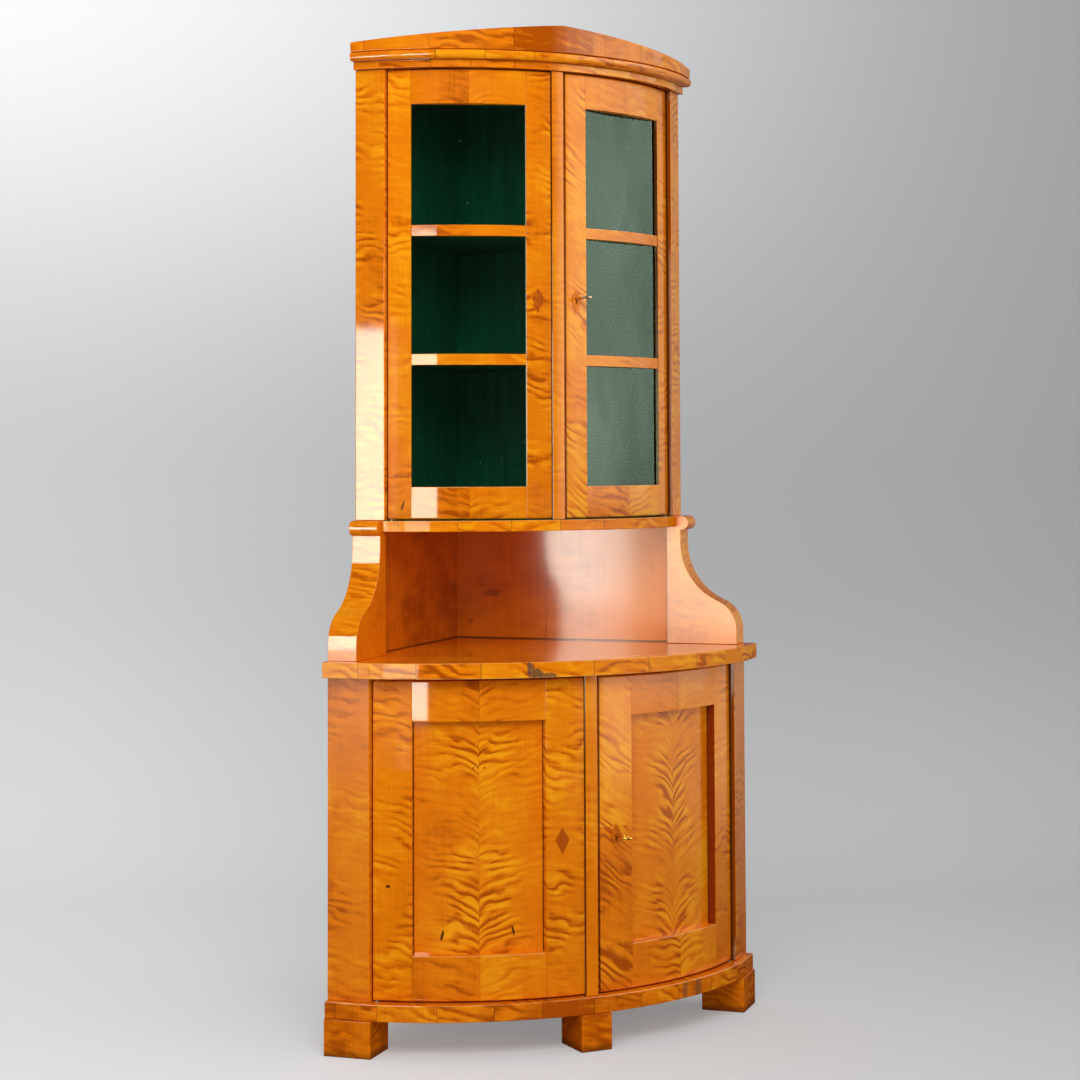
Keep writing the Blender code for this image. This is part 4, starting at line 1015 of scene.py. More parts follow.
def make_walls(s):
    """Canted stiles are rebuilt; the flat backs keep their CAD shape and take new finishes."""
    levels, boards = s.levels, s.boards
    shadow = scaled(s.finish.dark, 0.45)
    turned = 0.3
    for level, plan, low, high in (("lower", s.lower, levels.floor, levels.table_underside),
                                   ("upper", s.upper, levels.upper_floor, levels.cornice)):
        wall, cant = plan.sizes.wall, plan.sizes.cant
        rear = wall - boards.stile
        corners = [(rear, 0.0), (wall, 0.0), (wall, cant), (rear, cant)]
        for side, name in SIDES:
            is_lower, dull = level == "lower", level == "lower" and side < 0
            # On the right-hand stiles, painted shade darkens the inner side face beside the door and draws
            # a shade line at the door's gap.
            wood = birch(f"birch_{level}_stile_{name}", s.finish, shift=(41.0 if is_lower else 44.0) + side,
                         figure=0.55 if is_lower else 0.9, tone=-0.02 if is_lower else 0.06,
                         gloss=0.3 if dull else 1.0, blur=0.25 if dull else 0.06,
                         shade_bands=((0.5, 0.6),) if side > 0 else (), shade_colour=shadow,
                         gap_shade_lines=((turned + wall - s.doors.recess_end, 0.0035),) if side > 0 else ())
            outline = [from_wall(*corner, side) for corner in corners]
            mesh = baked(name, to_mesh(prism(outline, low, high - boards.gap), name), [arris(0.002, 3)])
            unwrap(mesh, wall_map(side, (turned * side, 0.0)))
            add_piece(f"veneered_{level}_stile_{name}", mesh, wood, "cabinet", "birch",
                      f"{level}_stile_{name}")
    hidden = plain_birch("plain_birch", s.finish)
    paint_from = levels.upper_bottom + 0.010
    # Both backs take a painted shade line along the table top; the right-hand one is also painted lighter
    # along the wall as a sheen.
    left_back = plain_birch("birch_and_paint_left", s.finish, paint_from, foot=levels.table)
    right_back = plain_birch("birch_and_paint_right", s.finish, paint_from, tone=0.20, rise=0.9,
                             gloss=0.74, foot=levels.table,
                             knots=((0.120, 0.926, 0.026, 0.013), (0.065, 0.860, 0.012, 0.008)),
                             blisters=((0.519, 0.990, 0.006, 0.028),), joints=(0.255,))
    for node, finish in (("lower_back_left", hidden), ("lower_back_right", hidden), ("lower_shelf", hidden),
                         ("foot_back", hidden), ("upper_back_left", left_back),
                         ("upper_back_right", right_back)):
        set_finish(node, finish)


def set_finish(node, finish):
    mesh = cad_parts[node].data
    mesh.materials.clear()
    mesh.materials.append(finish)


def bar_middles(s):
    sizes = s.upper.sizes
    low = s.levels.upper_floor + sizes.bottom_gap + sizes.bottom_rail
    high = s.levels.cornice - sizes.top_gap - sizes.top_rail
    return (low + sizes.low_light + sizes.bar / 2.0, high - sizes.high_light - sizes.bar / 2.0), low, high


def make_shelves(s):
    plan, boards = s.upper, s.boards
    paint = painted_shelf(s.finish)
    radius = plan.doors.radius - boards.shelf_setback
    cant = boards.back - boards.shelf_housing
    angle = plan.doors.at_cant(cant, radius)
    outline = [from_wall(cant, cant, 1)] + plan.doors.sweep(radius, angle, -angle)
    for middle, name in zip(bar_middles(s)[0], ("low", "high")):
        shape = prism(outline, middle - boards.shelf / 2.0, middle + boards.shelf / 2.0)
        mesh = baked(name, to_mesh(shape, name), [arris(0.001)])
        unwrap(mesh, lambda point, normal, z=middle: (
            (point.x, point.y + 2.0) if abs(normal.z) > 0.75
            else (math.atan2(point.x, -point.y) * radius, point.z - z)))
        add_piece("painted_shelf_" + name, mesh, paint, "cabinet", "painted_shelf", "upper_shelf_" + name)


def bracket_outline(s):
    """Side of a scrolled bracket as (wall distance, height): foot, double curve, neck and roll."""
    boards, levels, wall = s.boards, s.levels, s.upper.sizes.wall
    steps = 22
    rear = wall - boards.stile
    foot = wall + boards.bracket_foot
    neck = wall + boards.bracket_neck
    top = levels.upper_floor - boards.gap
    roll_wall = wall + boards.roll_reach
    roll_height = top - boards.roll
    neck_angle = math.acos((neck - roll_wall) / boards.roll)
    neck_height = roll_height - boards.roll * math.sin(neck_angle)
    low = levels.table + boards.foot_straight
    high = neck_height - boards.neck_straight
    turn = 2.0 * math.atan2(foot - neck, high - low)
    total = (high - low) / math.sin(turn)
    hollow = total * boards.hollow_share
    belly = total - hollow
    points = [(rear, levels.table), (foot, levels.table)]
    for i in range(steps + 1):
        angle = turn * i / steps
        points.append((foot - belly * (1.0 - math.cos(angle)), low + belly * math.sin(angle)))
    for i in range(1, steps + 1):
        angle = turn * (1.0 - i / steps)
        points.append((neck + hollow * (1.0 - math.cos(angle)), high - hollow * math.sin(angle)))
    points.append((neck, neck_height))
    for i in range(1, 2 * steps + 1):
        angle = -neck_angle + (math.radians(90.0) + neck_angle) * i / (2 * steps)
        across, rise = boards.roll * math.cos(angle), boards.roll * math.sin(angle)
        points.append((roll_wall + across, roll_height + rise))
    return points + [(rear, top)]


def make_brackets(s):
    width = s.boards.bracket
    rear = s.upper.sizes.wall - s.boards.stile
    line = ((rear + 0.0032, rear + 0.0016),)
    shadow = scaled(s.finish.dark, 0.5)
    for side, name in SIDES:
        # The fronts' lifted tone is partly a painted reflection, the haze of light in the hollow of the
        # curve.
        front = birch("birch_bracket_" + name, s.finish, shift=51.0 + side, figure=0.8, tone=0.08)
        cheek = birch("birch_cheek_" + name, s.finish, shift=55.0 + side, figure=0.25,
                      tone=-0.16 if side > 0 else -0.04, gloss=1.17, blur=0.12 if side < 0 else 0.2,
                      shade_bands=line, shade_colour=shadow,
                      stains=((0.589, 0.915, 0.012, 0.004, 0.4),) if side > 0 else ())
        shape = prism(bracket_outline(s), 0.0, width, wall_frame(side))
        mesh = baked(name, to_mesh(shape, name), [arris(0.0014, 3)])
        unwrap(mesh, bracket_map(side, (0.0, 0.0)))
        piece = add_piece("veneered_bracket_" + name, mesh, front, "cabinet", "birch", "bracket_" + name)
        across = Vector((side, 1.0, 0.0)) / ROOT_2
        dress(piece, [front, cheek], lambda face, a=across: int(abs(face.normal.dot(a)) > 0.7))


def make_cornice(s):
    levels, boards, plan = s.levels, s.boards, s.upper
    edge = birch("birch_cornice", s.finish, shift=61.0, piece=0.10, figure=1.0)
    top = plain_birch("cornice_top", s.finish)
    half = (levels.pediment - levels.torus - boards.gap) / 2.0
    spine = levels.torus_overhang - half
    for name, overhang, low, high in (("band", levels.band_overhang, levels.cornice, levels.torus),
                                      ("board", spine, levels.torus, levels.pediment)):
        shape = prism(plan.outline(overhang), low, high - boards.gap)
        mesh = baked(name, to_mesh(shape, name), [arris(levels.arris)])
        unwrap(mesh, board_map(plan, plan.front.radius + overhang))
        piece = add_piece("cornice_" + name, mesh, edge, "cabinet", "birch", "cornice")
        dress(piece, [edge, top, top], by_facing)
    line = plan.front_line(spine)
    path = bpy.data.meshes.new("cornice_path")
    path.from_pydata([(x, y + BACK_Y, levels.torus + half) for x, y in line],
                     [(i, i + 1) for i in range(len(line) - 1)], [])
    tree = moulding_tree()
    mesh = baked("cornice_moulding", path,
                 [tree.modifier({"Radius": half, "Steps": 28, "Material": edge})])
    unwrap(mesh, bow_map(plan.front, plan.front.radius, shift=(0.37, 0.0)))
    piece = add_piece("cornice_moulding", mesh, edge, "cabinet", "birch", "cornice")
    mark_sharp(piece.data)
    outer = plan.front_line(levels.pediment_overhang)
    inner = plan.front_line(levels.pediment_overhang - boards.pediment)
    shape = prism(outer + list(reversed(inner)), levels.pediment, levels.apex)
    fall = (levels.apex - levels.pediment_end) / outer[0][0]
    for vertex in shape.verts:
        if vertex.co.z > levels.pediment_end:
            vertex.co.z = levels.apex - abs(vertex.co.x) * fall
    mesh = baked("pediment", to_mesh(shape, "pediment"), [arris(0.0015, 3)])
    unwrap(mesh, bow_map(plan.front, plan.front.radius + levels.pediment_overhang, shift=(0.11, 0.0)))
    board = birch("birch_pediment", s.finish, shift=65.0, piece=0.17, figure=0.8, tone=-0.20)
    add_piece("veneered_pediment", mesh, board, "cabinet", "birch", "pediment")


def mark_sharp(mesh, degrees=35.0):
    """Keeps the creases of a smooth-shaded mesh."""
    shape = bmesh.new()
    shape.from_mesh(mesh)
    bmesh.ops.remove_doubles(shape, verts=shape.verts, dist=WELD)
    bmesh.ops.recalc_face_normals(shape, faces=shape.faces)
    for edge in shape.edges:
        edge.smooth = len(edge.link_faces) == 2 and edge.calc_face_angle() < math.radians(degrees)
    shape.to_mesh(mesh)
    shape.free()


class Leaf:
    """One door: its arc, its edges as angles and where its pieces go."""

    def __init__(self, s, level, side, tree):
        self.s = s
        self.level = level
        self.side = side
        self.tree = tree
        self.blur = 0.06 if side < 0 else 0.16
        self.name = f"{level}_{'right' if side > 0 else 'left'}"
        self.body = self.name + "_door"
        self.plan = s.lower if level == "lower" else s.upper
        self.sizes = self.plan.sizes
        self.arc = self.plan.doors
        self.front = self.arc.radius
        self.back = self.front - self.sizes.thickness
        floor, ceiling = ((s.levels.floor, s.levels.table_underside) if level == "lower"
                          else (s.levels.upper_floor, s.levels.cornice))
        self.bottom = floor + self.sizes.bottom_gap
        self.top = ceiling - self.sizes.top_gap
        self.inner = self.arc.at_x(self.sizes.inner, self.front)
        self.outer = self.arc.at_x(self.sizes.outer, self.front)
        self.meeting_x = s.doors.right_edge if side > 0 else -s.doors.left_edge
        self.key_angle = self.arc.at_x((s.doors.right_edge + self.sizes.inner) / 2.0, self.front)

    def round_over(self, shape, end_x=None):
        """Rounds the outside front edges: the leaf's top and bottom and the upright at end_x."""
        def all_at(values, target):
            return target is not None and all(abs(value - target) < CLOSE for value in values)

        def outside(edge):
            points = [end.co - Vector((0.0, BACK_Y + self.arc.centre, 0.0)) for end in edge.verts]
            heights = [point.z for point in points]
            on_front = all_at([math.hypot(point.x, point.y) for point in points], self.front)
            return on_front and (all_at(heights, self.bottom) or all_at(heights, self.top)
                                 or all_at([point.x for point in points], end_x))

        edges = [edge for edge in shape.edges if outside(edge)]
        bmesh.ops.bevel(shape, geom=edges, offset=self.s.doors.easing, segments=5, affect="EDGES",
                        profile=0.5)

    def add_stile(self, place, front_angles, back_angles, end_angle, finish, modifiers=()):
        outline = self.arc.sweep(self.front, *front_angles)
        outline += self.arc.sweep(self.back, *reversed(back_angles))
        shape = prism([(self.side * x, y) for x, y in outline], self.bottom, self.top)
        self.round_over(shape, self.side * self.arc.point(end_angle, self.front)[0])
        mesh = baked(place, to_mesh(shape, place), list(modifiers) + [arris(self.s.levels.arris)])
        unwrap(mesh, bow_map(self.arc, self.front))
        add_piece(f"veneered_{self.name}_{place}", mesh, finish, self.body, "birch",
                  f"{self.name}_{place}")

    def add_bent(self, place, low, high, start, end, recess, depth, finish, eased=False, rabbets=()):
        first, last = sorted((self.side * start, self.side * end))
        steps = max(3, math.ceil((last - first) / ARC_STEP) + 1)
        mesh = baked(place, bpy.data.meshes.new(place), [self.tree.modifier({
            "Radius": self.front - recess, "Depth": depth, "Bottom": low, "Top": high, "Start": first,
            "End": last, "Steps": steps, "Middle": (0.0, self.arc.centre + BACK_Y, 0.0),
            "Material": finish})])
        shape = bmesh.new()
        shape.from_mesh(mesh)
        bmesh.ops.remove_doubles(shape, verts=shape.verts, dist=WELD)
        bmesh.ops.recalc_face_normals(shape, faces=shape.faces)
        if eased:
            self.round_over(shape)
        mesh = baked(place, to_mesh(shape, place),
                     [cut(blank) for blank in rabbets] + [arris(self.s.levels.arris)])
        unwrap(mesh, bow_map(self.arc, self.front, origin=(first + last) / 2.0))
        add_piece(f"veneered_{self.name}_{place}", mesh, finish, self.body, "birch",
                  f"{self.name}_{place}")

    def glass_rabbet(self, low, high):
        """Cutter behind the glass: it leaves the lip that the glass lies against."""
        doors, lip = self.s.doors, self.front - self.s.doors.glass_recess
        start, end = (Vector(self.arc.point(angle, lip)) for angle in (self.inner, self.outer))
        along = (end - start).normalized()
        inwards = Vector((-along.y, along.x))
        first = start - along * doors.glass_lap - inwards * self.s.boards.gap
        last = end + along * doors.glass_lap - inwards * self.s.boards.gap
        deep = inwards * self.sizes.thickness * 1.6
        outline = [(self.side * corner.x, corner.y) for corner in (first, last, last + deep, first + deep)]
        shape = prism(outline, low - doors.glass_lap, high + doors.glass_lap)
        return [cutter_object(self.name + "_rabbet", [to_mesh(shape, "rabbet")])]

    def key_axes(self):
        angle = self.key_angle
        x, y = self.arc.point(angle, self.front)
        out = Vector((math.sin(angle), -math.cos(angle), 0.0))
        up = Vector((0.0, 0.0, 1.0))
        axes = Matrix((up.cross(out), up, out)).transposed().to_4x4()
        axes.translation = (x, y + BACK_Y, self.sizes.lock_height)
        return axes

    def keyhole(self):
        """Two cutters: the round hole and the slot below it."""
        axes = self.key_axes()
        hole = rod(KEYHOLE_RADIUS, -0.040, 0.004, axes)
        slot = box_mesh((SLOT_WIDTH, SLOT_DROP, 0.044), (0.0, -SLOT_DROP / 2.0, -0.018), axes)
        return [cutter_object(f"{self.name}_keyhole_{i}", [mesh]) for i, mesh in enumerate((hole, slot))]

    def pin_sockets(self):
        doors = self.s.doors
        x, y = from_wall(self.sizes.wall - doors.recess_end - doors.pivot_depth,
                         self.sizes.cant + doors.hinge_gap + doors.pivot_inset, self.side)
        axes = Matrix.Translation((x, y + BACK_Y, 0.0))
        ends = [(self.bottom - 0.002, self.bottom + doors.pin_socket),
                (self.top - doors.pin_socket, self.top + 0.002)]
        return [cutter_object(self.name + "_sockets",
                              [rod(doors.pin_clearance, low, high, axes) for low, high in ends])]


def keyhole_shade_marks(leaf, across):
    """Painted shade inside and round the cut round hole and slot of a keyhole, as dark marks on the wood.
    """
    height = leaf.sizes.lock_height
    return (across, height, 0.0044, 0.0044, 0.0), (across, height - 0.0065, 0.0026, 0.0080, 0.0)


def add_stiles(leaf, shift, marks=(), breaks=(), rabbets=()):
    s = leaf.s
    hinge_front = leaf.arc.at_cant(leaf.sizes.cant + s.doors.hinge_gap, leaf.front)
    hinge_back = leaf.arc.at_cant(leaf.sizes.cant + s.doors.hinge_gap, leaf.back)
    meet_front, meet_back = (leaf.arc.at_x(leaf.meeting_x, radius) for radius in (leaf.front, leaf.back))
    outer_line, inner_line = leaf.outer * leaf.front, leaf.inner * leaf.front
    left, is_lower = leaf.side < 0, leaf.level == "lower"
    # On the right-hand doors the frame's side face beside the panel or the glass takes painted shade.
    reveal = () if left else ((outer_line - 0.0002, outer_line - 0.0012),)
    sockets = leaf.pin_sockets() + list(rabbets)
    wood = birch(f"birch_{leaf.name}_hinge", s.finish, shift=shift, figure=0.8, gloss=0.05 if left else 1.0,
                 tone=0.13 if left and not is_lower else 0.0, blur=leaf.blur, marks=marks, shade_bands=reveal,
                 shade_colour=tuple(s.finish.reveal) if is_lower else None)
    leaf.add_stile("hinge_stile", (leaf.outer, hinge_front), (leaf.outer, hinge_back), hinge_front, wood,
                   [cut(blank) for blank in sockets])
    remove(sockets[:1])
    tone = 0.0 if left else (-0.04 if is_lower else 0.14)
    # The upper left meeting stile is paler along its edge by the glass.
    paler_beyond = ((-inner_line - 0.0002, -inner_line - 0.0008),) if left and not is_lower else ()
    # The right-hand meeting stile takes a painted shade line in the gap at its edge and painted shade
    # inside its keyhole.
    wood = birch(f"birch_{leaf.name}_meeting", s.finish, shift=shift + 2.0, figure=1.1, blur=leaf.blur,
                 slope=0.3 if left else 1.6, tone=tone, breaks=breaks, paler_beyond=paler_beyond,
                 gap_shade_lines=() if left else ((s.doors.right_edge - 0.0002, 0.0034),),
                 marks=() if left else keyhole_shade_marks(leaf, leaf.key_angle * leaf.front))
    holes = leaf.keyhole() if leaf.side > 0 else []
    leaf.add_stile("meeting_stile", (meet_front, leaf.inner), (meet_back, leaf.inner), meet_front, wood,
                   [cut(blank) for blank in holes + list(rabbets)])
    remove(holes)


def add_rails(leaf, shift, low, high, rabbets=()):
    gap = leaf.s.boards.gap / leaf.front
    # A pale line along the bottom rail's top arris: a painted highlight, partly wear.
    wood = birch(f"birch_{leaf.name}_rails", leaf.s.finish, shift=shift, mirror=True, slope=0.5, figure=0.8,
                 halves=0.22, blur=leaf.blur, worn=(low,))
    for place, bottom, top in (("top_rail", high, leaf.top), ("bottom_rail", leaf.bottom, low)):
        leaf.add_bent(place, bottom, top, leaf.inner + gap, leaf.outer - gap, 0.0, leaf.sizes.thickness,
                      wood, eased=True, rabbets=rabbets)


def add_closing_strip(leaf):
    s, doors = leaf.s, leaf.s.doors
    right = doors.left_edge
    left = right - doors.strip_width
    back = -(leaf.plan.reach - doors.recess_centre) - s.boards.gap
    face = back - doors.strip_thickness
    steps, turn, curve = 6, math.radians(90.0), doors.strip_round
    outline = [(left, back), (right, back)]
    for i in range(steps + 1):
        angle = -turn * i / steps
        outline.append((right - curve * (1.0 - math.cos(angle)), face + curve * (1.0 + math.sin(angle))))
    for i in range(steps + 1):
        angle = turn * (1.0 - i / steps)
        outline.append((left + curve * (1.0 - math.cos(angle)), face + curve * (1.0 - math.sin(angle))))
    low = leaf.bottom - leaf.sizes.bottom_gap + 0.0008
    high = leaf.top + leaf.sizes.top_gap - 0.0008
    mesh = baked("strip", to_mesh(prism(outline, low, high), "strip"), [arris(0.0004)])
    unwrap(mesh, lambda point, normal: (point.x, point.z))
    # Painted shade darkens the strip's left edge, where it meets the door.
    wood = birch(f"birch_{leaf.level}_strip", s.finish, shift=71.0 + low, figure=0.35, tone=0.06,
                 shade_bands=((left + 0.0022, left + 0.0012),))
    add_piece(f"veneered_{leaf.level}_closing_strip", mesh, wood, leaf.body, "birch",
              leaf.level + "_astragal")


def make_lower_doors(s):
    tree = bent_board_tree()
    for side, _ in SIDES:
        leaf = Leaf(s, "lower", side, tree)
        low, high = leaf.bottom + leaf.sizes.bottom_rail, leaf.top - leaf.sizes.top_rail
        knots = ((-0.439, 0.352, 0.006, 0.004, 0.0),) if side < 0 else ()
        add_stiles(leaf, 81.0 + 5.0 * side, knots, (0.214, 0.461) if side > 0 else ())
        add_rails(leaf, 83.0 + 5.0 * side, low, high)
        marks = ((-0.012, 0.596, 0.003, 0.003, 0.0), (0.012, 0.596, 0.003, 0.003, 0.0),
                 (-0.080, 0.248, 0.0035, 0.012, 0.25), (0.074, 0.255, 0.0030, 0.013, -0.25))
        # Painted shade darkens the panel's edges, where they lie in the frame.
        wood = birch(f"birch_{leaf.name}_panel", s.finish, shift=85.0 + 5.0 * side, mirror=True,
                     slope=0.6 if side < 0 else 1.15, figure=1.1, tone=0.04, halves=0.05,
                     marks=marks if side < 0 else (), blur=leaf.blur, shade_bands=((0.1398, 0.1408),))
        slack = 0.001 / leaf.front
        leaf.add_bent("panel", low - 0.001, high + 0.001, leaf.inner - slack, leaf.outer + slack,
                      s.doors.panel_recess, s.doors.panel, wood)
        if side < 0:
            add_closing_strip(leaf)


def make_upper_doors(s):
    tree = bent_board_tree()
    glass = window_glass()
    middles, low, high = bar_middles(s)
    for side, name in SIDES:
        leaf = Leaf(s, "upper", side, tree)
        knots = ((-0.3486, 1.145, 0.003, 0.012, 0.35),) if side < 0 else ()
        rabbets = leaf.glass_rabbet(low, high)
        add_stiles(leaf, 101.0 + 5.0 * side, knots, rabbets=rabbets)
        add_rails(leaf, 103.0 + 5.0 * side, low, high, rabbets)
        wood = birch(f"birch_{leaf.name}_bars", s.finish, shift=105.0 + 5.0 * side, figure=0.5,
                     blur=leaf.blur)
        gap = s.boards.gap / leaf.front
        for place, middle in zip(("bar_low", "bar_high"), middles):
            half = leaf.sizes.bar / 2.0
            leaf.add_bent(place, middle - half, middle + half, leaf.inner + gap, leaf.outer - gap,
                          leaf.sizes.bar_recess, leaf.sizes.thickness - leaf.sizes.bar_recess, wood,
                          rabbets=rabbets)
        remove(rabbets)
        set_finish(f"upper_{name}_glass", glass)
        if side < 0:
            add_closing_strip(leaf)


def make_inlays(s):
    """Kites on the meeting stiles, widest at the keyholes' height."""
    tree = inlay_tree()
    proud = 0.0002
    for level in ("lower", "upper"):
        for side, _ in SIDES:
            leaf = Leaf(s, level, side, None)
            shift = leaf.sizes.inlay_shift / leaf.front
            angle = leaf.key_angle if side > 0 else -leaf.key_angle - shift
            widest = leaf.sizes.inlay_above / leaf.sizes.inlay_height
            x, y = leaf.arc.point(angle, leaf.front + proud)
            # The right-hand kites take painted shade inside their keyholes.
            wood = birch(f"birch_inlay_{leaf.name}", s.finish, shift=121.0 + side, figure=0.3,
                         tone=-0.25 if side > 0 else (-0.62 if level == "lower" else -0.42),
                         gloss=0.5, blur=0.2,
                         marks=keyhole_shade_marks(leaf, 0.0) if side > 0 else ())
            points = bpy.data.meshes.new("inlay_point")
            points.from_pydata([(x, y + BACK_Y, leaf.sizes.lock_height)], [], [])
            points.attributes.new("facing", "FLOAT", "POINT").data[0].value = angle
            modifiers = [tree.modifier({"Width": leaf.sizes.inlay_width, "Height": leaf.sizes.inlay_height,
                                        "Widest": widest, "Depth": 0.0012, "Material": wood})]
            holes = leaf.keyhole() if side > 0 else []
            mesh = baked("inlay", points, modifiers + [cut(blank) for blank in holes])
            remove(holes)
            mark_sharp(mesh)
            unwrap(mesh, bow_map(leaf.arc, leaf.front, origin=angle))
            piece = add_piece(f"inlay_{leaf.name}", mesh, wood, leaf.body, "birch")
            for face in piece.data.polygons:
                face.use_smooth = False


def make_hardware(s):
    brass = metal("key_brass", s.finish.brass, 0.22, 0.55)
    worn_steel = metal("key_steel", scaled(s.finish.steel, 3.2), 0.24, 0.5)
    steel = metal("aged_steel", s.finish.steel, 0.45, 0.5)
    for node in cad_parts:
        if node.endswith("_key"):
            set_finish(node, brass if node.startswith("lower") else worn_steel)
        elif "_pin_" in node or node.endswith("_lock"):
            set_finish(node, steel)


# Stage

def area_light(name, place, target, width, height, radiance, reflected, tint=(1.0, 1.0, 1.0)):
    """Soft box hidden from the camera: a reflected one only shows in the varnish, another only lights."""
    light = bpy.data.lights.new(name, "AREA")
    light.shape = "RECTANGLE"
    light.size, light.size_y = width, height
    light.energy = radiance * math.pi * width * height
    light.color = tint
    lamp = bpy.data.objects.new(name, light)
    bpy.context.scene.collection.objects.link(lamp)
    lamp.location = (place[0], place[1] + BACK_Y, place[2])
    aim = Vector(target) - Vector(place)
    lamp.rotation_euler = aim.to_track_quat("-Z", "Y").to_euler()
    lamp.visible_camera = False
    lamp.visible_glossy = reflected
    lamp.visible_diffuse = not reflected


def backdrop_material():
    """Pale grey paper, painted lighter towards the left and the floor with a painted pool of light high on
    the left; it glows by that painted light to the camera, is darker in reflections except to the right,
    and far to the right glows strongly in reflections; from behind it is clear.
    """
    material = bpy.data.materials.new("backdrop_paper")
    shade = Shade(material)
    x, y, z = shade.place()
    left = (x - y * 0.5).step(2.6, -2.4)
    path = shade.node("ShaderNodeLightPath")
    mirrored = Value(shade, path.outputs["Is Glossy Ray"])
    # Painted light: the paper is lighter towards the left and the floor, with a painted pool of light high
    # on the left.
    grey = left * 0.27 + 0.355 + z.step(0.9, 0.0) * 0.09 + left * z.step(1.2, 3.0) * 0.36
    seen = grey * (1.0 - mirrored * (0.94 - x.step(0.6, 2.2) * 0.6))
    paper = shade.node("ShaderNodeCombineColor", None, {0: seen * 0.985, 1: seen, 2: seen * 1.012})
    # The paper glows by its painted light to the camera, and far to the right it glows strongly in
    # reflections, as a painted source of reflections.
    lift = Value(shade, path.outputs["Is Camera Ray"]) * grey
    glowing_patch = mirrored * x.step(2.0, 4.2) * 4.5
    glow = shade.node("ShaderNodeCombineColor", None, {0: lift * 0.985 + glowing_patch, 1: lift + glowing_patch * 0.62,
                                                       2: lift * 1.012 + glowing_patch * 0.30})
    sheet = shade.node("ShaderNodeBsdfPrincipled", None, {
        "Base Color": paper.outputs[0], "Roughness": 0.9, "Specular IOR Level": 0.0,
        "Emission Color": glow.outputs[0], "Emission Strength": 0.40})
    clear = shade.node("ShaderNodeBsdfTransparent")
    behind = shade.node("ShaderNodeNewGeometry").outputs["Backfacing"]
    both = shade.node("ShaderNodeMixShader", None, {0: behind, 1: sheet.outputs[0], 2: clear.outputs[0]})
    shade.output(both.outputs[0])
    return material


def make_backdrop():
    """Floor that curves up into a wall, square to the camera's view."""
    radius, depth, tall, half = 1.2, 2.6, 5.0, 6.0
    profile = [(-7.0, 0.0), (depth - radius, 0.0)]
    turns = [math.radians(degrees) for degrees in range(5, 91, 5)]
    profile += [(depth - radius + radius * math.sin(turn), radius - radius * math.cos(turn))
                for turn in turns]
    profile += [(depth, tall)]
    shape = bmesh.new()
    rows = [[shape.verts.new((x, forward, z)) for x in (-half, half)] for forward, z in profile]
    for near, far in zip(rows, rows[1:]):
        shape.faces.new((near[0], near[1], far[1], far[0]))
    shape.transform(Matrix.Rotation(-VIEW_YAW, 4, "Z"))
    mesh = to_mesh(shape, "backdrop")
    for face in mesh.polygons:
        face.use_smooth = True
    mesh.materials.append(backdrop_material())
    sheet = bpy.data.objects.new("backdrop", mesh)
    bpy.context.scene.collection.objects.link(sheet)
    sheet.location.z = -0.0005


def make_world(lamp):
    world = bpy.data.worlds.new("studio")
    bpy.context.scene.world = world
    shade = Shade(world)
    path = shade.node("ShaderNodeLightPath")
    shiny = Value(shade, path.outputs["Is Glossy Ray"])
    room = shade.node("ShaderNodeTexCoord")
    split = shade.node("ShaderNodeSeparateXYZ", None, {"Vector": room.outputs["Generated"]})
    x, y, z = [Value(shade, output) for output in split.outputs]
    window = x.step(0.33, 0.60) * (1.0 - x.step(0.75, 1.0) * 0.3) * z.step(-0.20, 0.0)
    clouds = shade.noise(x * 45.0, y * 45.0, z * 14.0, detail=1.0)
    level = shiny * (window * (clouds * 4.2 + 1.4) + 0.012) + (1.0 - shiny) * 0.50
    tint = shade.mix(shiny, (1.0, 1.0, 1.0), (lamp[0], lamp[1] * 0.97, lamp[2] * 0.84))
    back = shade.node("ShaderNodeBackground", None, {"Color": tint, "Strength": level})
    shade.output(back.outputs[0], "ShaderNodeOutputWorld")


def make_camera():
    """Camera fitted to the photograph; its shift stands for the photograph's crop."""
    pitch, roll, place = 0.0516, -0.0039, (-2.3243, -5.1858 + BACK_Y, 1.2452)
    photo_side, focal_pixels, centre_row = 1080.0, 2343.57, 337.90
    level = Vector((math.sin(VIEW_YAW), math.cos(VIEW_YAW), 0.0))
    forward = level * math.cos(pitch) + Vector((0.0, 0.0, math.sin(pitch)))
    right = Vector((level.y, -level.x, 0.0))
    up = right.cross(forward)
    rolled_right = right * math.cos(roll) + up * math.sin(roll)
    rolled_up = up * math.cos(roll) - right * math.sin(roll)
    data = bpy.data.cameras.new("camera")
    data.sensor_width = 36.0
    data.lens = focal_pixels * data.sensor_width / photo_side
    data.shift_y = centre_row / photo_side - 0.5
    camera = bpy.data.objects.new("camera", data)
    bpy.context.scene.collection.objects.link(camera)
    camera.matrix_world = Matrix.Translation(place) @ Matrix(
        (rolled_right, rolled_up, -forward)).transposed().to_4x4()
    bpy.context.scene.camera = camera


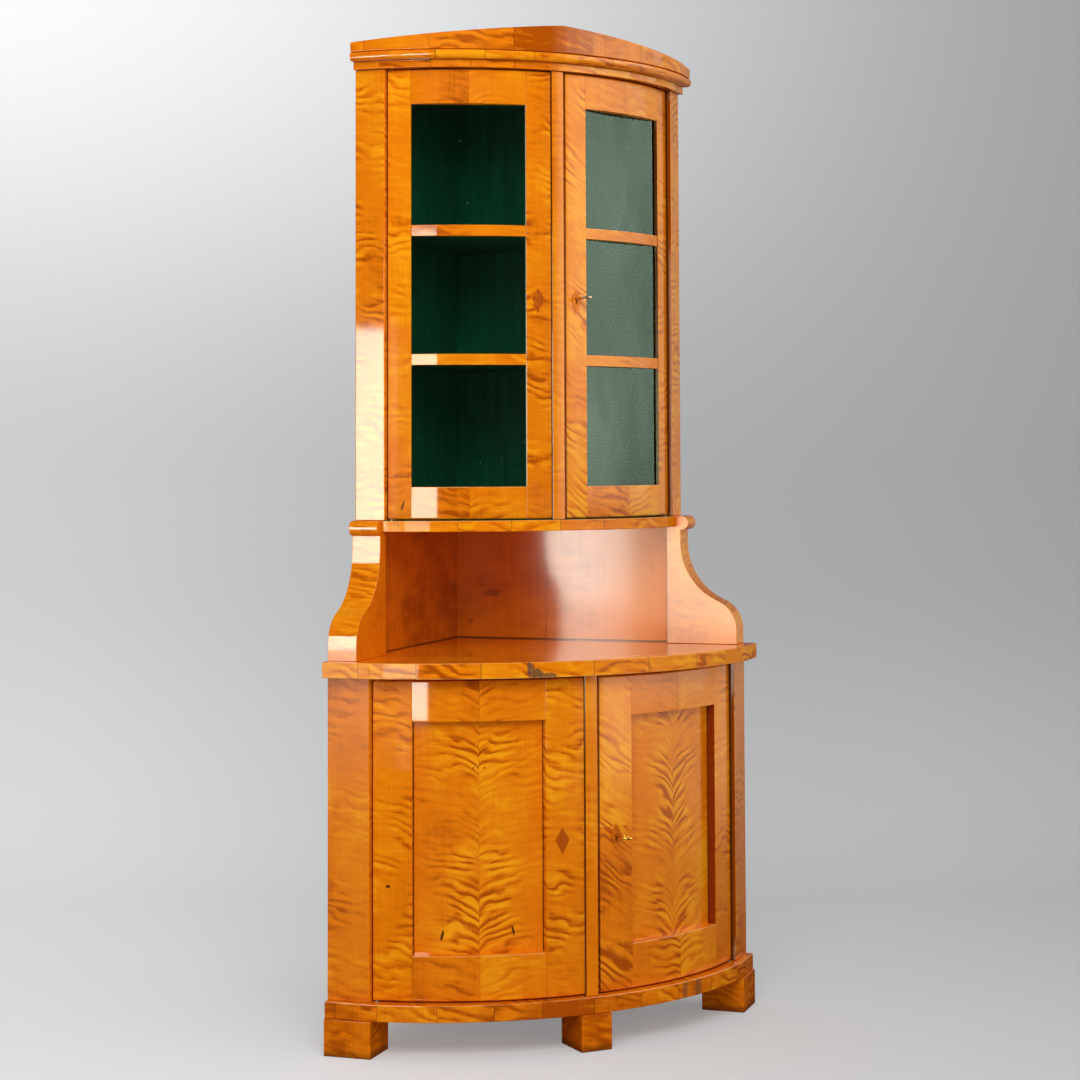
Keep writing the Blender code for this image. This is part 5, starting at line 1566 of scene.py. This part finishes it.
def make_stage(s):
    lamp = tuple(s.finish.lamp)
    make_backdrop()
    make_world(lamp)
    make_camera()
    left_place, left_target = Vector((-1.944, -1.266, 1.185)), Vector((-0.483, -0.614, 1.185))
    lower = Vector((0.0, 0.0, -0.605))
    area_light("left_box", left_place, left_target, 0.548, 0.89, 20.0, True, lamp)
    area_light("left_low", left_place + lower, left_target + lower, 0.548, 0.32, 8.0, True, lamp)
    area_light("cheek_card", (-1.98, -1.86, 0.76), (0.41, -0.50, 0.90), 0.32, 0.55, 7.5, True,
               (1.0, 0.95, 0.74))
    area_light("strip_box", (-1.98, -2.45, 1.22), (-0.28, -0.50, 1.22), 0.58, 1.56, 17.0, True, lamp)
    area_light("pale_card", (-3.06, -2.47, 1.10), (0.40, -0.50, 1.10), 0.60, 1.1, 9.5, True,
               (1.0, 0.85, 0.46))
    middle = (0.0, -0.5, 1.2)
    area_light("key", (-1.5, -3.4, 3.0), middle, 2.2, 1.8, 5.8, False)
    area_light("fill", (0.9, -4.6, 1.6), middle, 3.0, 2.4, 0.5, False)
    bpy.context.scene.view_settings.view_transform = "Standard"


# Add-on

class PieceOperator:
    """Runs one builder with the scene's settings."""
    bl_options = {"REGISTER", "UNDO"}

    def execute(self, context):
        self.build(Settings())
        return {"FINISHED"}


class CABINET_OT_feet(PieceOperator, bpy.types.Operator):
    """Build the three front feet"""
    bl_idname = "cabinet.feet"
    bl_label = "Feet"

    def build(self, settings):
        make_feet(settings)


class CABINET_OT_boards(PieceOperator, bpy.types.Operator):
    """Build the base board, the table top and the upper cupboard's floor"""
    bl_idname = "cabinet.boards"
    bl_label = "Boards"

    def build(self, settings):
        make_boards(settings)


class CABINET_OT_walls(PieceOperator, bpy.types.Operator):
    """Build the canted stiles and finish the backs"""
    bl_idname = "cabinet.walls"
    bl_label = "Walls"

    def build(self, settings):
        make_walls(settings)


class CABINET_OT_shelves(PieceOperator, bpy.types.Operator):
    """Build the two painted shelves"""
    bl_idname = "cabinet.shelves"
    bl_label = "Painted shelves"

    def build(self, settings):
        make_shelves(settings)


class CABINET_OT_brackets(PieceOperator, bpy.types.Operator):
    """Build the two scrolled brackets"""
    bl_idname = "cabinet.brackets"
    bl_label = "Brackets"

    def build(self, settings):
        make_brackets(settings)


class CABINET_OT_cornice(PieceOperator, bpy.types.Operator):
    """Build the cornice and the gabled board"""
    bl_idname = "cabinet.cornice"
    bl_label = "Cornice"

    def build(self, settings):
        make_cornice(settings)


class CABINET_OT_lower_doors(PieceOperator, bpy.types.Operator):
    """Build the two panelled doors"""
    bl_idname = "cabinet.lower_doors"
    bl_label = "Lower doors"

    def build(self, settings):
        make_lower_doors(settings)


class CABINET_OT_upper_doors(PieceOperator, bpy.types.Operator):
    """Build the two glazed doors"""
    bl_idname = "cabinet.upper_doors"
    bl_label = "Upper doors"

    def build(self, settings):
        make_upper_doors(settings)


class CABINET_OT_inlays(PieceOperator, bpy.types.Operator):
    """Build the four kite-shaped inlays"""
    bl_idname = "cabinet.inlays"
    bl_label = "Inlays"

    def build(self, settings):
        make_inlays(settings)


class CABINET_OT_hardware(PieceOperator, bpy.types.Operator):
    """Finish the keys, locks and pivot pins"""
    bl_idname = "cabinet.hardware"
    bl_label = "Hardware"

    def build(self, settings):
        make_hardware(settings)


class CABINET_OT_stage(PieceOperator, bpy.types.Operator):
    """Build the backdrop, the lights and the camera"""
    bl_idname = "cabinet.stage"
    bl_label = "Stage"

    def build(self, settings):
        make_stage(settings)


PIECES = (CABINET_OT_feet, CABINET_OT_boards, CABINET_OT_walls, CABINET_OT_shelves, CABINET_OT_brackets,
          CABINET_OT_cornice, CABINET_OT_lower_doors, CABINET_OT_upper_doors, CABINET_OT_inlays,
          CABINET_OT_hardware, CABINET_OT_stage)


class CABINET_PT_panel(bpy.types.Panel):
    """Buttons for the cabinet's pieces and its settings"""
    bl_label = "Corner cabinet"
    bl_idname = "CABINET_PT_panel"
    bl_space_type = "VIEW_3D"
    bl_region_type = "UI"
    bl_category = "Cabinet"

    def draw(self, context):
        for piece in PIECES:
            self.layout.operator(piece.bl_idname)
        for name in SETTINGS:
            group = getattr(context.scene, name)
            column = self.layout.box().column()
            for key in group.bl_rna.properties.keys():
                if key not in ("rna_type", "name"):
                    column.prop(group, key)


SETTINGS = {"cabinet_levels": CabinetLevels, "cabinet_boards": BoardSizes, "cabinet_lower": LowerSizes,
            "cabinet_upper": UpperSizes, "cabinet_doors": DoorSizes, "cabinet_finish": FinishSettings}


def register():
    for name, group in SETTINGS.items():
        bpy.utils.register_class(group)
        setattr(bpy.types.Scene, name, PointerProperty(type=group))
    for piece in PIECES:
        bpy.utils.register_class(piece)
    bpy.utils.register_class(CABINET_PT_panel)


def unregister():
    bpy.utils.unregister_class(CABINET_PT_panel)
    for piece in reversed(PIECES):
        bpy.utils.unregister_class(piece)
    for name, group in reversed(SETTINGS.items()):
        delattr(bpy.types.Scene, name)
        bpy.utils.unregister_class(group)


def corners(bounds):
    return [list(corner) for corner in bounds]


def main():
    register()
    for piece in PIECES:
        _, step = piece.bl_idname.split(".")
        getattr(bpy.ops.cabinet, step)()
    bpy.context.view_layer.update()


if __name__ == "__main__":
    main()
